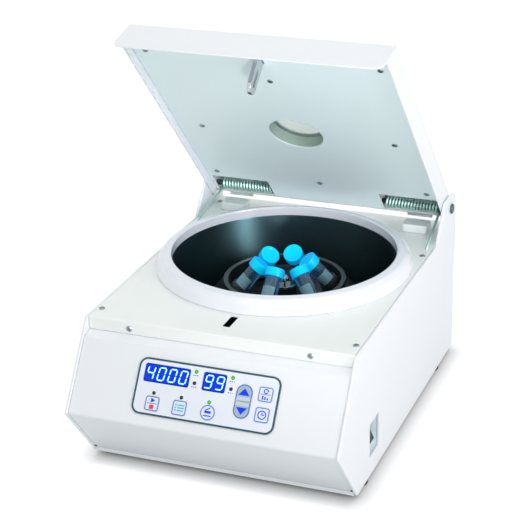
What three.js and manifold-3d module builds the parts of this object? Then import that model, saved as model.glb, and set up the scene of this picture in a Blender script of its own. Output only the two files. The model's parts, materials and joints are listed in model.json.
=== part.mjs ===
// Low-speed bench centrifuge with its lid open. Millimetres, +X to the right, +Y to the back, +Z up.
// The case is drawn round the rotor's axis, with height zero at the lower edge of the side panels.

import * as THREE from 'three';
import { mergeVertices } from 'three/addons/utils/BufferGeometryUtils.js';
import Module from 'manifold-3d';

const wasm = await Module();
wasm.setup();

// Clearances
const seat_gap = 0.3;
const running_gap = 0.4;
const cut_overrun = 2;
const weld_depth = 0.2;
const merge_distance = 0.0001;

// Rounding: how many steps an arc or a full circle takes
const arc_steps = 4;
const large_sides = 40;
const small_sides = 18;
const pin_sides = 12;

// Case
const panel_thickness = 3;
const panel_proud = 1.5;
const sheet_thickness = 1.5;
const tray_thickness = 2;
const tray_rise = 0.8;
const base_setback = 0.8;
const base_front_radius = 4;
const bend_reach = 56.7;
const bend_z = 69.7;
const bend_radius = 2;
const deck_front_margin = 50.6;
const deck_front_radius = 3;
const deck_z = 149.4;
const case_rear_margin = 29.3;
const case_rear_radius = 5;

// Ears of the side panels, which carry the hinge rod
const ear_rise = 37.9;
const ear_foot_run = 73.2;
const ear_slope_run = 32.1;
const ear_foot_radius = 12;
const ear_crown_radius = 5;
const ear_back_radius = 16;
const ear_overhang = 3.2;
const ear_step_drop = 31;
const ear_step_height = 2;

// Front panel and the deck's front flange
const deck_flange_inset = 1.8;
const deck_flange_drop = 13.1;
const ledge_start_s = 78;
const hem_length = 20;
const inner_flange_drop = 14;
const inner_flange_front_gap = 12;
const inner_flange_rear_gap = 12;

// Bowl and its ring
const ring_side_gap = 2.8;
const ring_width = 16.8;
const ring_foot_height = 2.3;
const ring_shoulder_run = 3.2;
const ring_shoulder_height = 10.3;
const ring_crown_run = 8.2;
const ring_crown_drop = 1.2;
const ring_lip_width = 2.6;
const ring_liner_gap = 0.4;
const bowl_wall = 1.5;
const bowl_flange_width = 9.9;
const bowl_edge_rise = 6.3;
const bowl_floor_z = 40;
const bowl_corner_height = 20;
const bowl_corner_run = 17.3;
const tower_radius = 40;
const tower_height = 40;
const tower_foot = 6;
const tower_hole_radius = 12;

// Motor and its mount
const motor_plate_z = 22;
const motor_plate_thickness = 3;
const motor_plate_radius = 72;
const motor_radius = 34;
const motor_bottom_z = 10;
const motor_top_z = 76;
const motor_flange_radius = 48;
const mount_count = 3;
const mount_radius = 9;
const mount_circle_radius = 60;
const shaft_radius = 5;
const shaft_bottom_z = 58;
const shaft_top_z = 130;
const shoulder_radius = 9;
const shoulder_z = 84;
const shoulder_height = 2;
const bearing_height = 5;

// Rotor
const rotor_tip_margin = 5.73;
const rotor_bowl_gap = 10.3;
const rim_radius = 64.4;
const rim_width = 5;
const rim_z = 131.3;
const rim_height = 4.3;
const flank_top_inset = 7.1;
const flank_top_z = 90;
const flank_side_z = 80;
const rotor_side_inset = 1;
const rotor_low_z = 58;
const rotor_bottom_z = 50;
const rotor_bottom_outer_inset = 3;
const rotor_bottom_width = 12;
const cavity_mid_inset = 30.1;
const cavity_mid_z = 69;
const cavity_top_radius = 54;
const cavity_top_z = 97.5;
const cavity_roof_radius = 50;
const cavity_roof_z = 100;
const hub_radius = 16;
const hub_foot_radius = 18;
const hub_roof_z = 104;
const hub_face_radius = 13;
const hub_face_z = 124.5;
const dish_low_z = 110;
const dish_hub_z = 112;
const dish_low_radius = 20;
const dish_edge_radius = 57;
const dish_edge_z = 121;
const nut_flange_radius = 12.6;
const nut_flange_height = 1.5;
const nut_radius = 6.5;
const nut_height = 11.2;
const nut_straight_share = 0.45;

// Sample tubes and their sleeves
const tube_count = 6;
const tube_first_azimuth_deg = 28;
const tube_tilt_deg = 41;
const cap_circle_radius = 23.3;
const cap_top_z = 151.3;
const cap_radius = 10.3;
const cap_height = 9.5;
const cap_top_thickness = 2;
const cap_bevel = 0.8;
const tube_radius = 8.2;
const tube_wall = 1;
const tube_length = 119;
const tube_cone_length = 15;
const tube_tip_radius = 1.5;
const sleeve_start = 33;
const sleeve_end = 60;
const sleeve_radius = 10.2;
const sleeve_clearance = 0.55;
const sleeve_floor_gap = 0.5;

// Lid, drawn closed and then turned up about the hinge
const hinge_inset = 17.7;
const hinge_rise = 22.8;
const open_angle_deg = 47.5;
const lid_side_gap = 0.8;
const lid_sheet = 1.2;
const lid_top_v = 11.5;
const lid_rear_u = -9.2;
const lid_rear_lip_v = -6.2;
const lid_front_gap = 1.1;
const flange_run = 23;
const flange_drop = 39.5;
const flange_corner_radius = 10;
const side_lip_v = -15.6;
const side_corner_radius = 3;
const tab_inset = 17.2;
const tab_width = 28;
const tab_drop = 3.3;
const liner_v = -6.2;
const liner_thickness = 1.5;
const liner_side_gap = 0.5;
const liner_front_gap = 1.8;
const liner_rear_gap = 0.3;
const cutout_coil_gap = 1.9;
const cutout_u = 28;
const window_offset = 2.7;
const window_hole_radius = 29;
const collar_wall = 2;
const window_radius = 30.8;
const window_thickness = 2.8;
const skin_hole_radius = 26;
const post_radius = 4;
const post_front_setback = 17.8;
const post_middle_offset = 2.1;
const post_rear_u = 41;
const post_side_inset = 15.3;
const post_middle_inset = 30.1;
const post_centre_front_setback = 56.7;
const post_centre_rear_u = 39;
const knuckle_gap = 2.4;
const knuckle_width = 12;
const knuckle_wall = 1;

// Latch
const tongue_thickness = 4;
const tongue_ring_gap = 7;
const tongue_width = 16;
const tongue_tip_v = -44;
const tongue_tip_radius = 7;
const tongue_slot_width = 5;
const tongue_slot_margin = 5.5;
const tongue_slot_top_v = -18;
const tongue_slot_length = 20;
const tongue_foot_width = 28;
const tongue_foot_margin = 4;
const tongue_foot_thickness = 2;
const tongue_liner_gap = 0.8;
const deck_slot_width = 8;
const deck_slot_ring_gap = 4.4;
const deck_slot_length = 24.9;
const bolt_z = 140;
const bolt_tip_radius = 2;
const bolt_radius = 3;
const bolt_tip_length = 9;
const bolt_length = 27;
const bolt_gap = 1;
const bracket_plate_x = 5.6;
const bracket_thickness = 2;
const bracket_length = 38;
const bracket_width = 18;
const bracket_drop = 16;
const solenoid_x = 13;
const solenoid_length = 28;
const solenoid_width = 17;
const solenoid_height = 13;

// Hinge rod and springs
const rod_radius = 3.1;
const rod_head_radius = 5.5;
const rod_head_height = 2;
const wire_radius = 1.45;
const coil_radius = 5.3;
const coil_turns = 17;
const coil_length = 60.7;
const coil_leg_gap = 4.5;
const curl_steps = 8;
const wire_sides = 5;
const outer_leg_inset = 5.5;
const outer_leg_run = 65.8;
const outer_leg_rise = 2.4;
const outer_leg_depth = 8;
const leg_bend_radius = 4;
const inner_leg_length = 45;
const leg_hole_radius = 2.2;

// Stop blocks on the deck
const stop_inset = 17;
const stop_width = 28;
const stop_ring_gap = 21.3;
const stop_depth = 19;
const stop_height = 9;

// Controls, placed on the sloped face: x across and s up the slope from the bend
const overlay_width = 145.5;
const overlay_low_s = 12.4;
const overlay_high_s = 67.7;
const overlay_corner_radius = 9;
const overlay_thickness = 0.8;
const display_s = 53.2;
const display_height = 18;
const speed_display_x = -42.5;
const speed_display_width = 47;
const time_display_x = 6.3;
const time_display_width = 23.8;
const display_recess = 0.2;
const board_depth = 8;
const board_thickness = 1.6;
const board_margin = 2.5;
const key_side = 14.1;
const key_corner_radius = 2.4;
const key_travel = 0.4;
const key_thickness = 0.6;
const key_proud = 0.25;
const key_row_s = 24.1;
const start_key_x = -52;
const program_key_x = -23.7;
const door_key_x = 5.4;
const door_key_radius = 7.3;
const side_key_x = 59;
const upper_key_s = 49.6;
const lower_key_s = 30.1;
const arrow_pad_x = 38;
const arrow_pad_s = 39.8;
const arrow_pad_width = 16;
const arrow_pad_height = 32.4;
const arrow_pad_split = 0.6;
const stem_radius = 1.6;

// Rocker switch, recessed in the right-hand side panel
const pocket_front_inset = 53.5;
const pocket_z = 38.5;
const pocket_width = 29.5;
const pocket_height = 36.5;
const pocket_depth = 13;
const pocket_wall = 2;
const rocker_width = 18;
const rocker_half_length = 11;
const rocker_tip_height = 7.3;
const rocker_valley_height = 5.9;
const rocker_waist_height = 2.5;
const rocker_foot_half_length = 7.5;
const rocker_foot_depth = 2.5;
const rocker_pivot_depth = 1;
const rocker_tilt_deg = 12;
const rocker_hole_margin = 2.5;

// Rear panel with vents and the mains inlet
const inlet_inset = 46.7;
const inlet_z = 36;
const inlet_body_width = 27.5;
const inlet_body_height = 20;
const inlet_body_depth = 20;
const inlet_flange_width = 50;
const inlet_flange_height = 23;
const inlet_flange_thickness = 2;
const inlet_recess_width = 24;
const inlet_recess_height = 16.5;
const inlet_recess_depth = 16;
const inlet_pin_width = 2;
const inlet_pin_height = 4;
const inlet_pin_length = 12;
const inlet_pin_spread = 7;
const inlet_pin_drop = 2;
const inlet_earth_rise = 3;
const vent_count = 12;
const vent_pitch = 9;
const vent_width = 4;
const vent_height = 40;
const vent_centre_x = 40;
const vent_z = 78;

// Main board on the tray
const main_board_inset = 36.7;
const main_board_rear_gap = 51;
const main_board_width = 54;
const main_board_length = 52;
const main_board_thickness = 1.6;
const standoff_height = 5;
const standoff_radius = 3;
const transformer_width = 24;
const transformer_length = 30;
const transformer_height = 20;
const heatsink_width = 8;
const heatsink_height = 16;

// Feet
const foot_radius = 12.5;
const foot_top_radius = 11.5;
const foot_height = 5.5;
const foot_inset = 16;
const foot_front_inset = 33;
const foot_rear_inset = 55.5;

// Sizes that follow from the ones above
const tube_tilt = THREE.MathUtils.degToRad(tube_tilt_deg);
const rotor_radius = cap_circle_radius + tube_length * Math.sin(tube_tilt) + rotor_tip_margin;
const bowl_radius = rotor_radius + rotor_bowl_gap;
const bowl_outer_radius = bowl_radius + bowl_wall;
const ring_inner_radius = bowl_radius;
const ring_radius = ring_inner_radius + ring_width;
const inner_half_width = ring_radius + ring_side_gap;
const half_width = inner_half_width + panel_thickness;
const deck_front_y = -ring_radius - deck_front_margin;
const base_front_y = deck_front_y + base_setback;
const bend_y = deck_front_y - bend_reach;
const case_rear_y = ring_radius + case_rear_margin;
const ear_front_y = case_rear_y - ear_foot_run;
const sheet_half_width = inner_half_width - seat_gap;
const tray_z = tray_rise;
const tray_top_z = tray_z + tray_thickness;
const deck_under_z = deck_z - sheet_thickness;
const deck_rear_y = case_rear_y - panel_proud;
const pocket_y = base_front_y + pocket_front_inset;
const inlet_x = inlet_inset - sheet_half_width;
const deck_flange_y = deck_front_y + deck_flange_inset;
const hinge_y = case_rear_y - hinge_inset;
const hinge_z = deck_z + hinge_rise;
const rod_hole_radius = rod_radius + seat_gap;
const ring_top_z = hinge_z + liner_v - ring_liner_gap;
const lid_half_width = inner_half_width - lid_side_gap;
const flange_share = (lid_top_v + hinge_rise) / flange_drop;
const flange_angle = Math.atan2(flange_run, flange_drop);
const lid_front_u = hinge_y - deck_flange_y + lid_front_gap
  + lid_sheet / Math.cos(flange_angle) - flange_run * flange_share;
const lid_under_v = lid_top_v - lid_sheet;
const liner_top_v = liner_v + liner_thickness;
const window_u = hinge_y + window_offset;
const tongue_rear_u = hinge_y + ring_radius + tongue_ring_gap;
const tongue_front_u = tongue_rear_u + tongue_width;
const tongue_slot_rear_u = tongue_rear_u + tongue_slot_margin;
const outer_leg_x = inner_half_width - outer_leg_inset;
const outer_leg_y = hinge_y - outer_leg_run;
const coil_outer_x = outer_leg_x - coil_leg_gap;
const coil_inner_x = coil_outer_x - coil_length;
const cutout_inner_x = coil_inner_x - cutout_coil_gap;
const cutout_outer_x = outer_leg_x;
const open_angle = THREE.MathUtils.degToRad(open_angle_deg);
const bend_slope = new THREE.Vector2(deck_front_y - bend_y, deck_z - bend_z).normalize();
const slope_angle = bend_slope.angle();

// Geometry helpers

// A radius whose polygon's flats, not its corners, lie at the given radius.
function flatRadius(radius, sides) {
  return radius / Math.cos(Math.PI / sides);
}

// Turns a geometry's triangles round where they face inward.
function outward(geometry) {
  const points = geometry.attributes.position;
  const index = geometry.index.array;
  const [a, b, c] = [new THREE.Vector3(), new THREE.Vector3(), new THREE.Vector3()];
  let volume = 0;
  for (let i = 0; i < index.length; i += 3) {
    a.fromBufferAttribute(points, index[i]);
    b.fromBufferAttribute(points, index[i + 1]);
    c.fromBufferAttribute(points, index[i + 2]);
    volume += a.dot(b.cross(c));
  }
  if (volume < 0) {
    for (let i = 0; i < index.length; i += 3) {
      [index[i], index[i + 1]] = [index[i + 1], index[i]];
    }
  }
  return geometry;
}

// A geometry with its shared corners merged and its flat triangles dropped.
function closed(geometry) {
  const bare = geometry.clone();
  bare.deleteAttribute('normal');
  bare.deleteAttribute('uv');
  const merged = mergeVertices(bare, merge_distance);
  const index = [];
  const old = merged.index.array;
  for (let i = 0; i < old.length; i += 3) {
    const [a, b, c] = [old[i], old[i + 1], old[i + 2]];
    if (a !== b && b !== c && c !== a) {
      index.push(a, b, c);
    }
  }
  merged.setIndex(index);
  return outward(merged);
}

function solid(geometry) {
  const merged = closed(geometry);
  return new wasm.Manifold(new wasm.Mesh({
    numProp: 3,
    vertProperties: new Float32Array(merged.attributes.position.array),
    triVerts: new Uint32Array(merged.index.array),
  }));
}

function joined(first, ...others) {
  return others.reduce((all, next) => all.add(solid(next)), solid(first));
}

function cut(body, ...tools) {
  return tools.reduce((all, tool) => all.subtract(solid(tool)), body);
}

function geometryOf(body) {
  const data = body.getMesh();
  const geometry = new THREE.BufferGeometry();
  geometry.setAttribute('position', new THREE.BufferAttribute(new Float32Array(data.vertProperties), 3));
  geometry.setIndex(Array.from(data.triVerts));
  return geometry;
}

// A box between two corners.
function block(low, high) {
  const size = high.map((value, i) => value - low[i]);
  const middle = high.map((value, i) => (value + low[i]) / 2);
  return new THREE.BoxGeometry(...size).translate(...middle);
}

// A box given by its middle and sizes.
function centredBlock(middle, size) {
  return new THREE.BoxGeometry(...size).translate(...middle);
}

// An upright cylinder between two heights.
function post(radius, low, high, sides, x = 0, y = 0) {
  return new THREE.CylinderGeometry(radius, radius, high - low, sides)
    .rotateX(Math.PI / 2)
    .translate(x, y, (low + high) / 2);
}

// A cylinder that lies along X between two places.
function pinAlongX(radius, low, high, sides, y, z) {
  return new THREE.CylinderGeometry(radius, radius, high - low, sides)
    .rotateZ(Math.PI / 2)
    .translate((low + high) / 2, y, z);
}

// A solid turned about the upright axis. The profile is a list of [radius, height] and closes on itself.
function turned(profile, sides) {
  const points = [...profile, profile[0]].map(([radius, height]) => new THREE.Vector2(radius, height));
  return new THREE.LatheGeometry(points, sides).rotateX(Math.PI / 2);
}

// The corners of an outline, each given as [x, y, radius], with its arcs worked out.
function roundedOutline(corners, steps = arc_steps) {
  const points = [];
  corners.forEach(([x, y, radius = 0], i) => {
    const corner = new THREE.Vector2(x, y);
    if (radius === 0) {
      points.push(corner);
      return;
    }
    const before = corners[(i + corners.length - 1) % corners.length];
    const after = corners[(i + 1) % corners.length];
    const back = new THREE.Vector2(before[0], before[1]).sub(corner).normalize();
    const ahead = new THREE.Vector2(after[0], after[1]).sub(corner).normalize();
    const half = Math.acos(THREE.MathUtils.clamp(back.dot(ahead), -1, 1)) / 2;
    const centre = back.clone().add(ahead).normalize()
      .multiplyScalar(radius / Math.sin(half)).add(corner);
    const start = back.multiplyScalar(radius / Math.tan(half)).add(corner).sub(centre).angle();
    const end = ahead.multiplyScalar(radius / Math.tan(half)).add(corner).sub(centre).angle();
    let sweep = end - start;
    if (sweep > Math.PI) sweep -= 2 * Math.PI;
    if (sweep < -Math.PI) sweep += 2 * Math.PI;
    for (let k = 0; k <= steps; k += 1) {
      const angle = start + sweep * k / steps;
      points.push(new THREE.Vector2(Math.cos(angle), Math.sin(angle)).multiplyScalar(radius).add(centre));
    }
  });
  return points;
}

// The outline of a bent sheet: its outer path, then the same path moved in by the thickness.
function sheetOutline(path, thickness) {
  const outer = path.map(([x, y]) => new THREE.Vector2(x, y));
  const normals = outer.slice(1).map((point, i) => {
    const along = point.clone().sub(outer[i]).normalize();
    return new THREE.Vector2(-along.y, along.x);
  });
  const inner = outer.map((point, i) => {
    const before = normals[Math.max(i - 1, 0)];
    const after = normals[Math.min(i, normals.length - 1)];
    const mitre = before.clone().add(after).normalize();
    return mitre.multiplyScalar(thickness / mitre.dot(after)).add(point);
  });
  return [...outer, ...inner.reverse()];
}

// An outline in X and Y, made solid between two heights.
function plate(points, low, high) {
  return new THREE.ExtrudeGeometry(new THREE.Shape(points), { depth: high - low, bevelEnabled: false })
    .translate(0, 0, low);
}

// An outline in Y and Z, made solid between two places along X.
const side_view = new THREE.Matrix4().makeBasis(
  new THREE.Vector3(0, 1, 0), new THREE.Vector3(0, 0, 1), new THREE.Vector3(1, 0, 0));
function sidePlate(points, low, high) {
  return plate(points, low, high).applyMatrix4(side_view);
}

// A rectangle's corners round a middle, with one radius.
function rectangle(width, height, radius = 0, x = 0, y = 0) {
  const [w, h] = [width / 2, height / 2];
  return roundedOutline([
    [x - w, y - h, radius],
    [x + w, y - h, radius],
    [x + w, y + h, radius],
    [x - w, y + h, radius],
  ]);
}

function material(colour, roughness, metalness) {
  return new THREE.MeshStandardMaterial({ color: colour, roughness, metalness });
}

function node(name, shape, look) {
  const geometry = shape.isBufferGeometry ? closed(shape) : geometryOf(shape);
  geometry.computeVertexNormals();
  const mesh = new THREE.Mesh(geometry, look);
  mesh.name = name;
  return mesh;
}

const white_paint = () => material(0xf1f0f6, 0.42, 0.0);
const deck_paint = () => material(0xeceae8, 0.42, 0.0);
const white_plastic = () => material(0xeef2fa, 0.25, 0.0);
const steel = () => material(0xb6b9bd, 0.35, 1.0);
const black_plastic = () => material(0x15171c, 0.4, 0.0);

// Case: side panels, tray, front panel, top cover and rear panel

function sidePanelOutline() {
  const ear_top_z = deck_z + ear_rise;
  const ear_rear_y = case_rear_y + ear_overhang;
  const step_z = deck_z - ear_step_drop;
  return roundedOutline([
    [base_front_y, 0, base_front_radius],
    [case_rear_y, 0, case_rear_radius],
    [case_rear_y, step_z - ear_step_height],
    [ear_rear_y, step_z],
    [ear_rear_y, ear_top_z, ear_back_radius],
    [ear_front_y + ear_slope_run, ear_top_z, ear_crown_radius],
    [ear_front_y, deck_z, ear_foot_radius],
    [deck_front_y, deck_z, deck_front_radius],
    [bend_y, bend_z, bend_radius],
  ]);
}

function sidePanel(side, ...cuts) {
  const [low, high] = side < 0 ? [-half_width, -inner_half_width] : [inner_half_width, half_width];
  const rod_hole = pinAlongX(flatRadius(rod_hole_radius, small_sides), low - cut_overrun,
    high + cut_overrun, small_sides, hinge_y, hinge_z);
  return cut(solid(sidePlate(sidePanelOutline(), low, high)), rod_hole, ...cuts);
}

function pocketHole() {
  return centredBlock([half_width, pocket_y, pocket_z], [pocket_depth, pocket_width, pocket_height]);
}

function baseTray() {
  return block([-sheet_half_width, base_front_y + panel_thickness, tray_z],
    [sheet_half_width, deck_rear_y, tray_top_z]);
}

// The front panel's outer face, from the hem under the case to the upstand behind the deck's flange.
function frontPanelPath() {
  const down = new THREE.Vector2(base_front_y - bend_y, -bend_z).normalize();
  const lower_in = new THREE.Vector2(-down.y, down.x);
  const upper_in = new THREE.Vector2(bend_slope.y, -bend_slope.x);
  const bend = new THREE.Vector2(bend_y, bend_z);
  const mitre = lower_in.clone().add(upper_in).normalize();
  const bend_inner = mitre.multiplyScalar(panel_proud / mitre.dot(upper_in)).add(bend);
  const hem_z = tray_top_z + seat_gap;
  const foot = bend_inner.clone().addScaledVector(down, (hem_z - bend_inner.y) / down.y);
  const ledge = bend.clone()
    .addScaledVector(bend_slope, ledge_start_s)
    .addScaledVector(upper_in, panel_proud);
  const upstand_y = deck_flange_y + sheet_thickness + seat_gap;
  return [
    [foot.x + hem_length, hem_z],
    [foot.x, foot.y],
    [bend_inner.x, bend_inner.y],
    [ledge.x, ledge.y],
    [upstand_y, deck_z - deck_flange_drop - seat_gap],
    [upstand_y, deck_under_z - seat_gap],
  ].reverse();
}

// The sloped face's own frame: x across, y up the slope from the bend, z out of the face.
const face_matrix = new THREE.Matrix4().makeRotationX(slope_angle).setPosition(
  0, bend_y + bend_slope.y * panel_proud, bend_z - bend_slope.x * panel_proud);

function onFace(geometry) {
  return geometry.applyMatrix4(face_matrix);
}

function keyPlaces() {
  const pad_key_height = (arrow_pad_height - arrow_pad_split) / 2;
  const pad_key_offset = (arrow_pad_height + arrow_pad_split) / 4;
  const pad = { x: arrow_pad_x, width: arrow_pad_width, height: pad_key_height };
  const square = { width: key_side, height: key_side, radius: key_corner_radius };
  return [
    { name: 'key_start', x: start_key_x, s: key_row_s, ...square },
    { name: 'key_program', x: program_key_x, s: key_row_s, ...square },
    { name: 'key_door', x: door_key_x, s: key_row_s, round: door_key_radius },
    { name: 'key_up', s: arrow_pad_s + pad_key_offset, ...pad, domed: 1 },
    { name: 'key_down', s: arrow_pad_s - pad_key_offset, ...pad, domed: -1 },
    { name: 'key_mode', x: side_key_x, s: upper_key_s, ...square },
    { name: 'key_time', x: side_key_x, s: lower_key_s, ...square },
  ];
}

// A key's outline, made larger all round by the margin where it is a hole.
function keyOutline(key, margin = 0) {
  if (key.round) {
    const ring = new THREE.Shape().absarc(key.x, key.s, key.round + margin, 0, 2 * Math.PI);
    return ring.getPoints(small_sides / 2).slice(0, -1);
  }
  const width = key.width + 2 * margin;
  const height = key.height + 2 * margin;
  if (!key.domed) {
    return rectangle(width, height, key.radius + margin, key.x, key.s);
  }
  const flat_s = key.s - key.domed * height / 2;
  const round_s = key.s + key.domed * height / 2;
  const round_radius = width / 2 - weld_depth;
  return roundedOutline([
    [key.x - key.domed * width / 2, flat_s],
    [key.x + key.domed * width / 2, flat_s],
    [key.x + key.domed * width / 2, round_s, round_radius],
    [key.x - key.domed * width / 2, round_s, round_radius],
  ]);
}

const displays = [
  { name: 'display_speed', x: speed_display_x, width: speed_display_width },
  { name: 'display_time', x: time_display_x, width: time_display_width },
];

function displayHole(display, low, high) {
  return plate(rectangle(display.width, display_height, 0, display.x, display_s), low, high);
}

function frontPanel() {
  const body = solid(sidePlate(sheetOutline(frontPanelPath(), sheet_thickness),
    -sheet_half_width, sheet_half_width));
  const low = -sheet_thickness - cut_overrun;
  const windows = displays.map((display) => onFace(displayHole(display, low, cut_overrun)));
  const stems = keyPlaces().map((key) => onFace(
    post(stem_radius + running_gap, low, cut_overrun, pin_sides, key.x, key.s)));
  return cut(body, ...windows, ...stems);
}

function topCover() {
  const wide = sheet_half_width;
  const flange_z = deck_z - inner_flange_drop;
  const rear_flange_y = deck_rear_y - sheet_thickness - seat_gap;
  const slot_rear_y = -ring_radius - deck_slot_ring_gap;
  const sides = [-1, 1].map((side) => {
    const edges = [side * wide, side * (wide - sheet_thickness)].sort((a, b) => a - b);
    return block([edges[0], deck_front_y + inner_flange_front_gap, flange_z],
      [edges[1], rear_flange_y - inner_flange_rear_gap, deck_z]);
  });
  const leg_holes = [-1, 1].map((side) => post(leg_hole_radius, flange_z, deck_z + cut_overrun,
    pin_sides, side * outer_leg_x, outer_leg_y));
  return cut(
    joined(
      block([-wide, deck_flange_y, deck_under_z], [wide, deck_rear_y, deck_z]),
      block([-wide, deck_flange_y, deck_z - deck_flange_drop],
        [wide, deck_flange_y + sheet_thickness, deck_z]),
      block([-wide, rear_flange_y - sheet_thickness, flange_z], [wide, rear_flange_y, deck_z]),
      ...sides,
    ),
    post(bowl_outer_radius + running_gap, flange_z, deck_z + cut_overrun, large_sides),
    block([-deck_slot_width / 2, slot_rear_y - deck_slot_length, flange_z],
      [deck_slot_width / 2, slot_rear_y, deck_z + cut_overrun]),
    ...leg_holes,
  );
}

function rearPanel() {
  const low_y = deck_rear_y - sheet_thickness;
  const vents = Array.from({ length: vent_count }, (_, i) => centredBlock(
    [vent_centre_x + (i - (vent_count - 1) / 2) * vent_pitch, low_y, vent_z],
    [vent_width, 2 * cut_overrun + sheet_thickness, vent_height]));
  const inlet = centredBlock([inlet_x, low_y, inlet_z], [inlet_body_width + 2 * seat_gap,
    2 * cut_overrun + sheet_thickness, inlet_body_height + 2 * seat_gap]);
  return cut(solid(block([-sheet_half_width, low_y, tray_top_z + seat_gap],
    [sheet_half_width, deck_rear_y, deck_under_z - seat_gap])), ...vents, inlet);
}

function powerInlet() {
  const face_y = deck_rear_y + seat_gap + inlet_flange_thickness;
  const recess_y = face_y - inlet_recess_depth;
  const pins = [
    [-inlet_pin_spread, -inlet_pin_drop],
    [inlet_pin_spread, -inlet_pin_drop],
    [0, inlet_earth_rise],
  ].map(([x, z]) => block(
    [inlet_x + x - inlet_pin_width / 2, recess_y - weld_depth, inlet_z + z - inlet_pin_height / 2],
    [inlet_x + x + inlet_pin_width / 2, recess_y + inlet_pin_length, inlet_z + z + inlet_pin_height / 2]));
  const body = cut(
    joined(
      centredBlock([inlet_x, face_y - inlet_body_depth / 2, inlet_z],
        [inlet_body_width, inlet_body_depth, inlet_body_height]),
      centredBlock([inlet_x, face_y - inlet_flange_thickness / 2, inlet_z],
        [inlet_flange_width, inlet_flange_thickness, inlet_flange_height]),
    ),
    centredBlock([inlet_x, face_y, inlet_z],
      [inlet_recess_width, 2 * inlet_recess_depth, inlet_recess_height]),
  );
  return pins.reduce((all, pin) => all.add(solid(pin)), body);
}

function mainBoard() {
  const main_board_x = main_board_inset - sheet_half_width;
  const main_board_y = deck_rear_y - main_board_rear_gap;
  const board_z = tray_top_z + seat_gap + standoff_height;
  const top_z = board_z + main_board_thickness;
  const [w, l] = [main_board_width / 2, main_board_length / 2];
  const standoffs = [[-1, -1], [1, -1], [1, 1], [-1, 1]].map(([i, j]) => post(
    standoff_radius, tray_top_z + seat_gap, board_z + weld_depth, pin_sides,
    main_board_x + i * (w - 2 * standoff_radius), main_board_y + j * (l - 2 * standoff_radius)));
  return joined(
    block([main_board_x - w, main_board_y - l, board_z], [main_board_x + w, main_board_y + l, top_z]),
    ...standoffs,
    block([main_board_x, main_board_y - transformer_length / 2, top_z - weld_depth],
      [main_board_x + transformer_width, main_board_y + transformer_length / 2, top_z + transformer_height]),
    block([main_board_x - w + standoff_radius, main_board_y - l + standoff_radius, top_z - weld_depth],
      [main_board_x - w + standoff_radius + heatsink_width, main_board_y + l - standoff_radius,
        top_z + heatsink_height]),
  );
}

function foot(x, y) {
  const top_z = tray_z - seat_gap;
  return turned([[0, top_z - foot_height], [foot_radius - weld_depth, top_z - foot_height],
    [foot_radius, top_z - foot_height + weld_depth], [foot_top_radius, top_z], [0, top_z]], small_sides)
    .translate(x, y, 0);
}

function stopBlock(side) {
  const outer_x = inner_half_width - stop_inset;
  const inner_x = outer_x - stop_width;
  const front_y = Math.sqrt(ring_radius ** 2 - inner_x ** 2) + stop_ring_gap;
  const edges = [side * inner_x, side * outer_x].sort((a, b) => a - b);
  return block([edges[0], front_y, deck_z + seat_gap],
    [edges[1], front_y + stop_depth, deck_z + seat_gap + stop_height]);
}

// Bowl, its ring and the drive below it

function bowlRing() {
  const foot_z = deck_z + seat_gap;
  const flange_top_z = deck_z + running_gap + bowl_wall;
  const groove_radius = bowl_outer_radius + bowl_flange_width + running_gap;
  return turned([
    [ring_inner_radius, ring_top_z],
    [ring_inner_radius, deck_z + bowl_edge_rise + seat_gap],
    [bowl_outer_radius + running_gap, deck_z + bowl_edge_rise + seat_gap],
    [bowl_outer_radius + running_gap, flange_top_z + seat_gap],
    [groove_radius, flange_top_z + seat_gap],
    [groove_radius, foot_z],
    [ring_radius, foot_z],
    [ring_radius, foot_z + ring_foot_height],
    [ring_radius - ring_shoulder_run, foot_z + ring_shoulder_height],
    [ring_radius - ring_crown_run, ring_top_z - ring_crown_drop],
    [ring_inner_radius + ring_lip_width, ring_top_z],
  ], large_sides);
}

function bowl() {
  const under_z = bowl_floor_z - bowl_wall;
  const flange_z = deck_z + running_gap;
  const tower_top_z = bowl_floor_z + tower_height;
  const corner_z = bowl_floor_z + bowl_corner_height;
  const corner_radius = bowl_radius - bowl_corner_run;
  const mid = new THREE.Vector2(bowl_radius - bowl_corner_run * (1 - Math.SQRT1_2),
    bowl_floor_z + bowl_corner_height * (1 - Math.SQRT1_2));
  return turned([
    [bowl_radius, deck_z + bowl_edge_rise],
    [bowl_radius, corner_z],
    [mid.x, mid.y],
    [corner_radius, bowl_floor_z],
    [tower_radius + tower_foot, bowl_floor_z],
    [tower_radius, bowl_floor_z + tower_foot],
    [tower_radius, tower_top_z],
    [tower_hole_radius, tower_top_z],
    [tower_hole_radius, tower_top_z - bowl_wall],
    [tower_radius - bowl_wall, tower_top_z - bowl_wall],
    [tower_radius - bowl_wall, bowl_floor_z + tower_foot - bowl_wall],
    [tower_radius + tower_foot - bowl_wall, under_z],
    [corner_radius, under_z],
    [mid.x + bowl_wall * Math.SQRT1_2, mid.y - bowl_wall * Math.SQRT1_2],
    [bowl_outer_radius, corner_z],
    [bowl_outer_radius, flange_z],
    [bowl_outer_radius + bowl_flange_width, flange_z],
    [bowl_outer_radius + bowl_flange_width, flange_z + bowl_wall],
    [bowl_outer_radius, flange_z + bowl_wall],
    [bowl_outer_radius, deck_z + bowl_edge_rise],
  ], large_sides);
}

const motor_plate_top_z = motor_plate_z + motor_plate_thickness;

function motorPlate() {
  return turned([
    [motor_radius + running_gap, motor_plate_z],
    [motor_plate_radius, motor_plate_z],
    [motor_plate_radius, motor_plate_top_z],
    [motor_radius + running_gap, motor_plate_top_z],
  ], large_sides);
}

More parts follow.
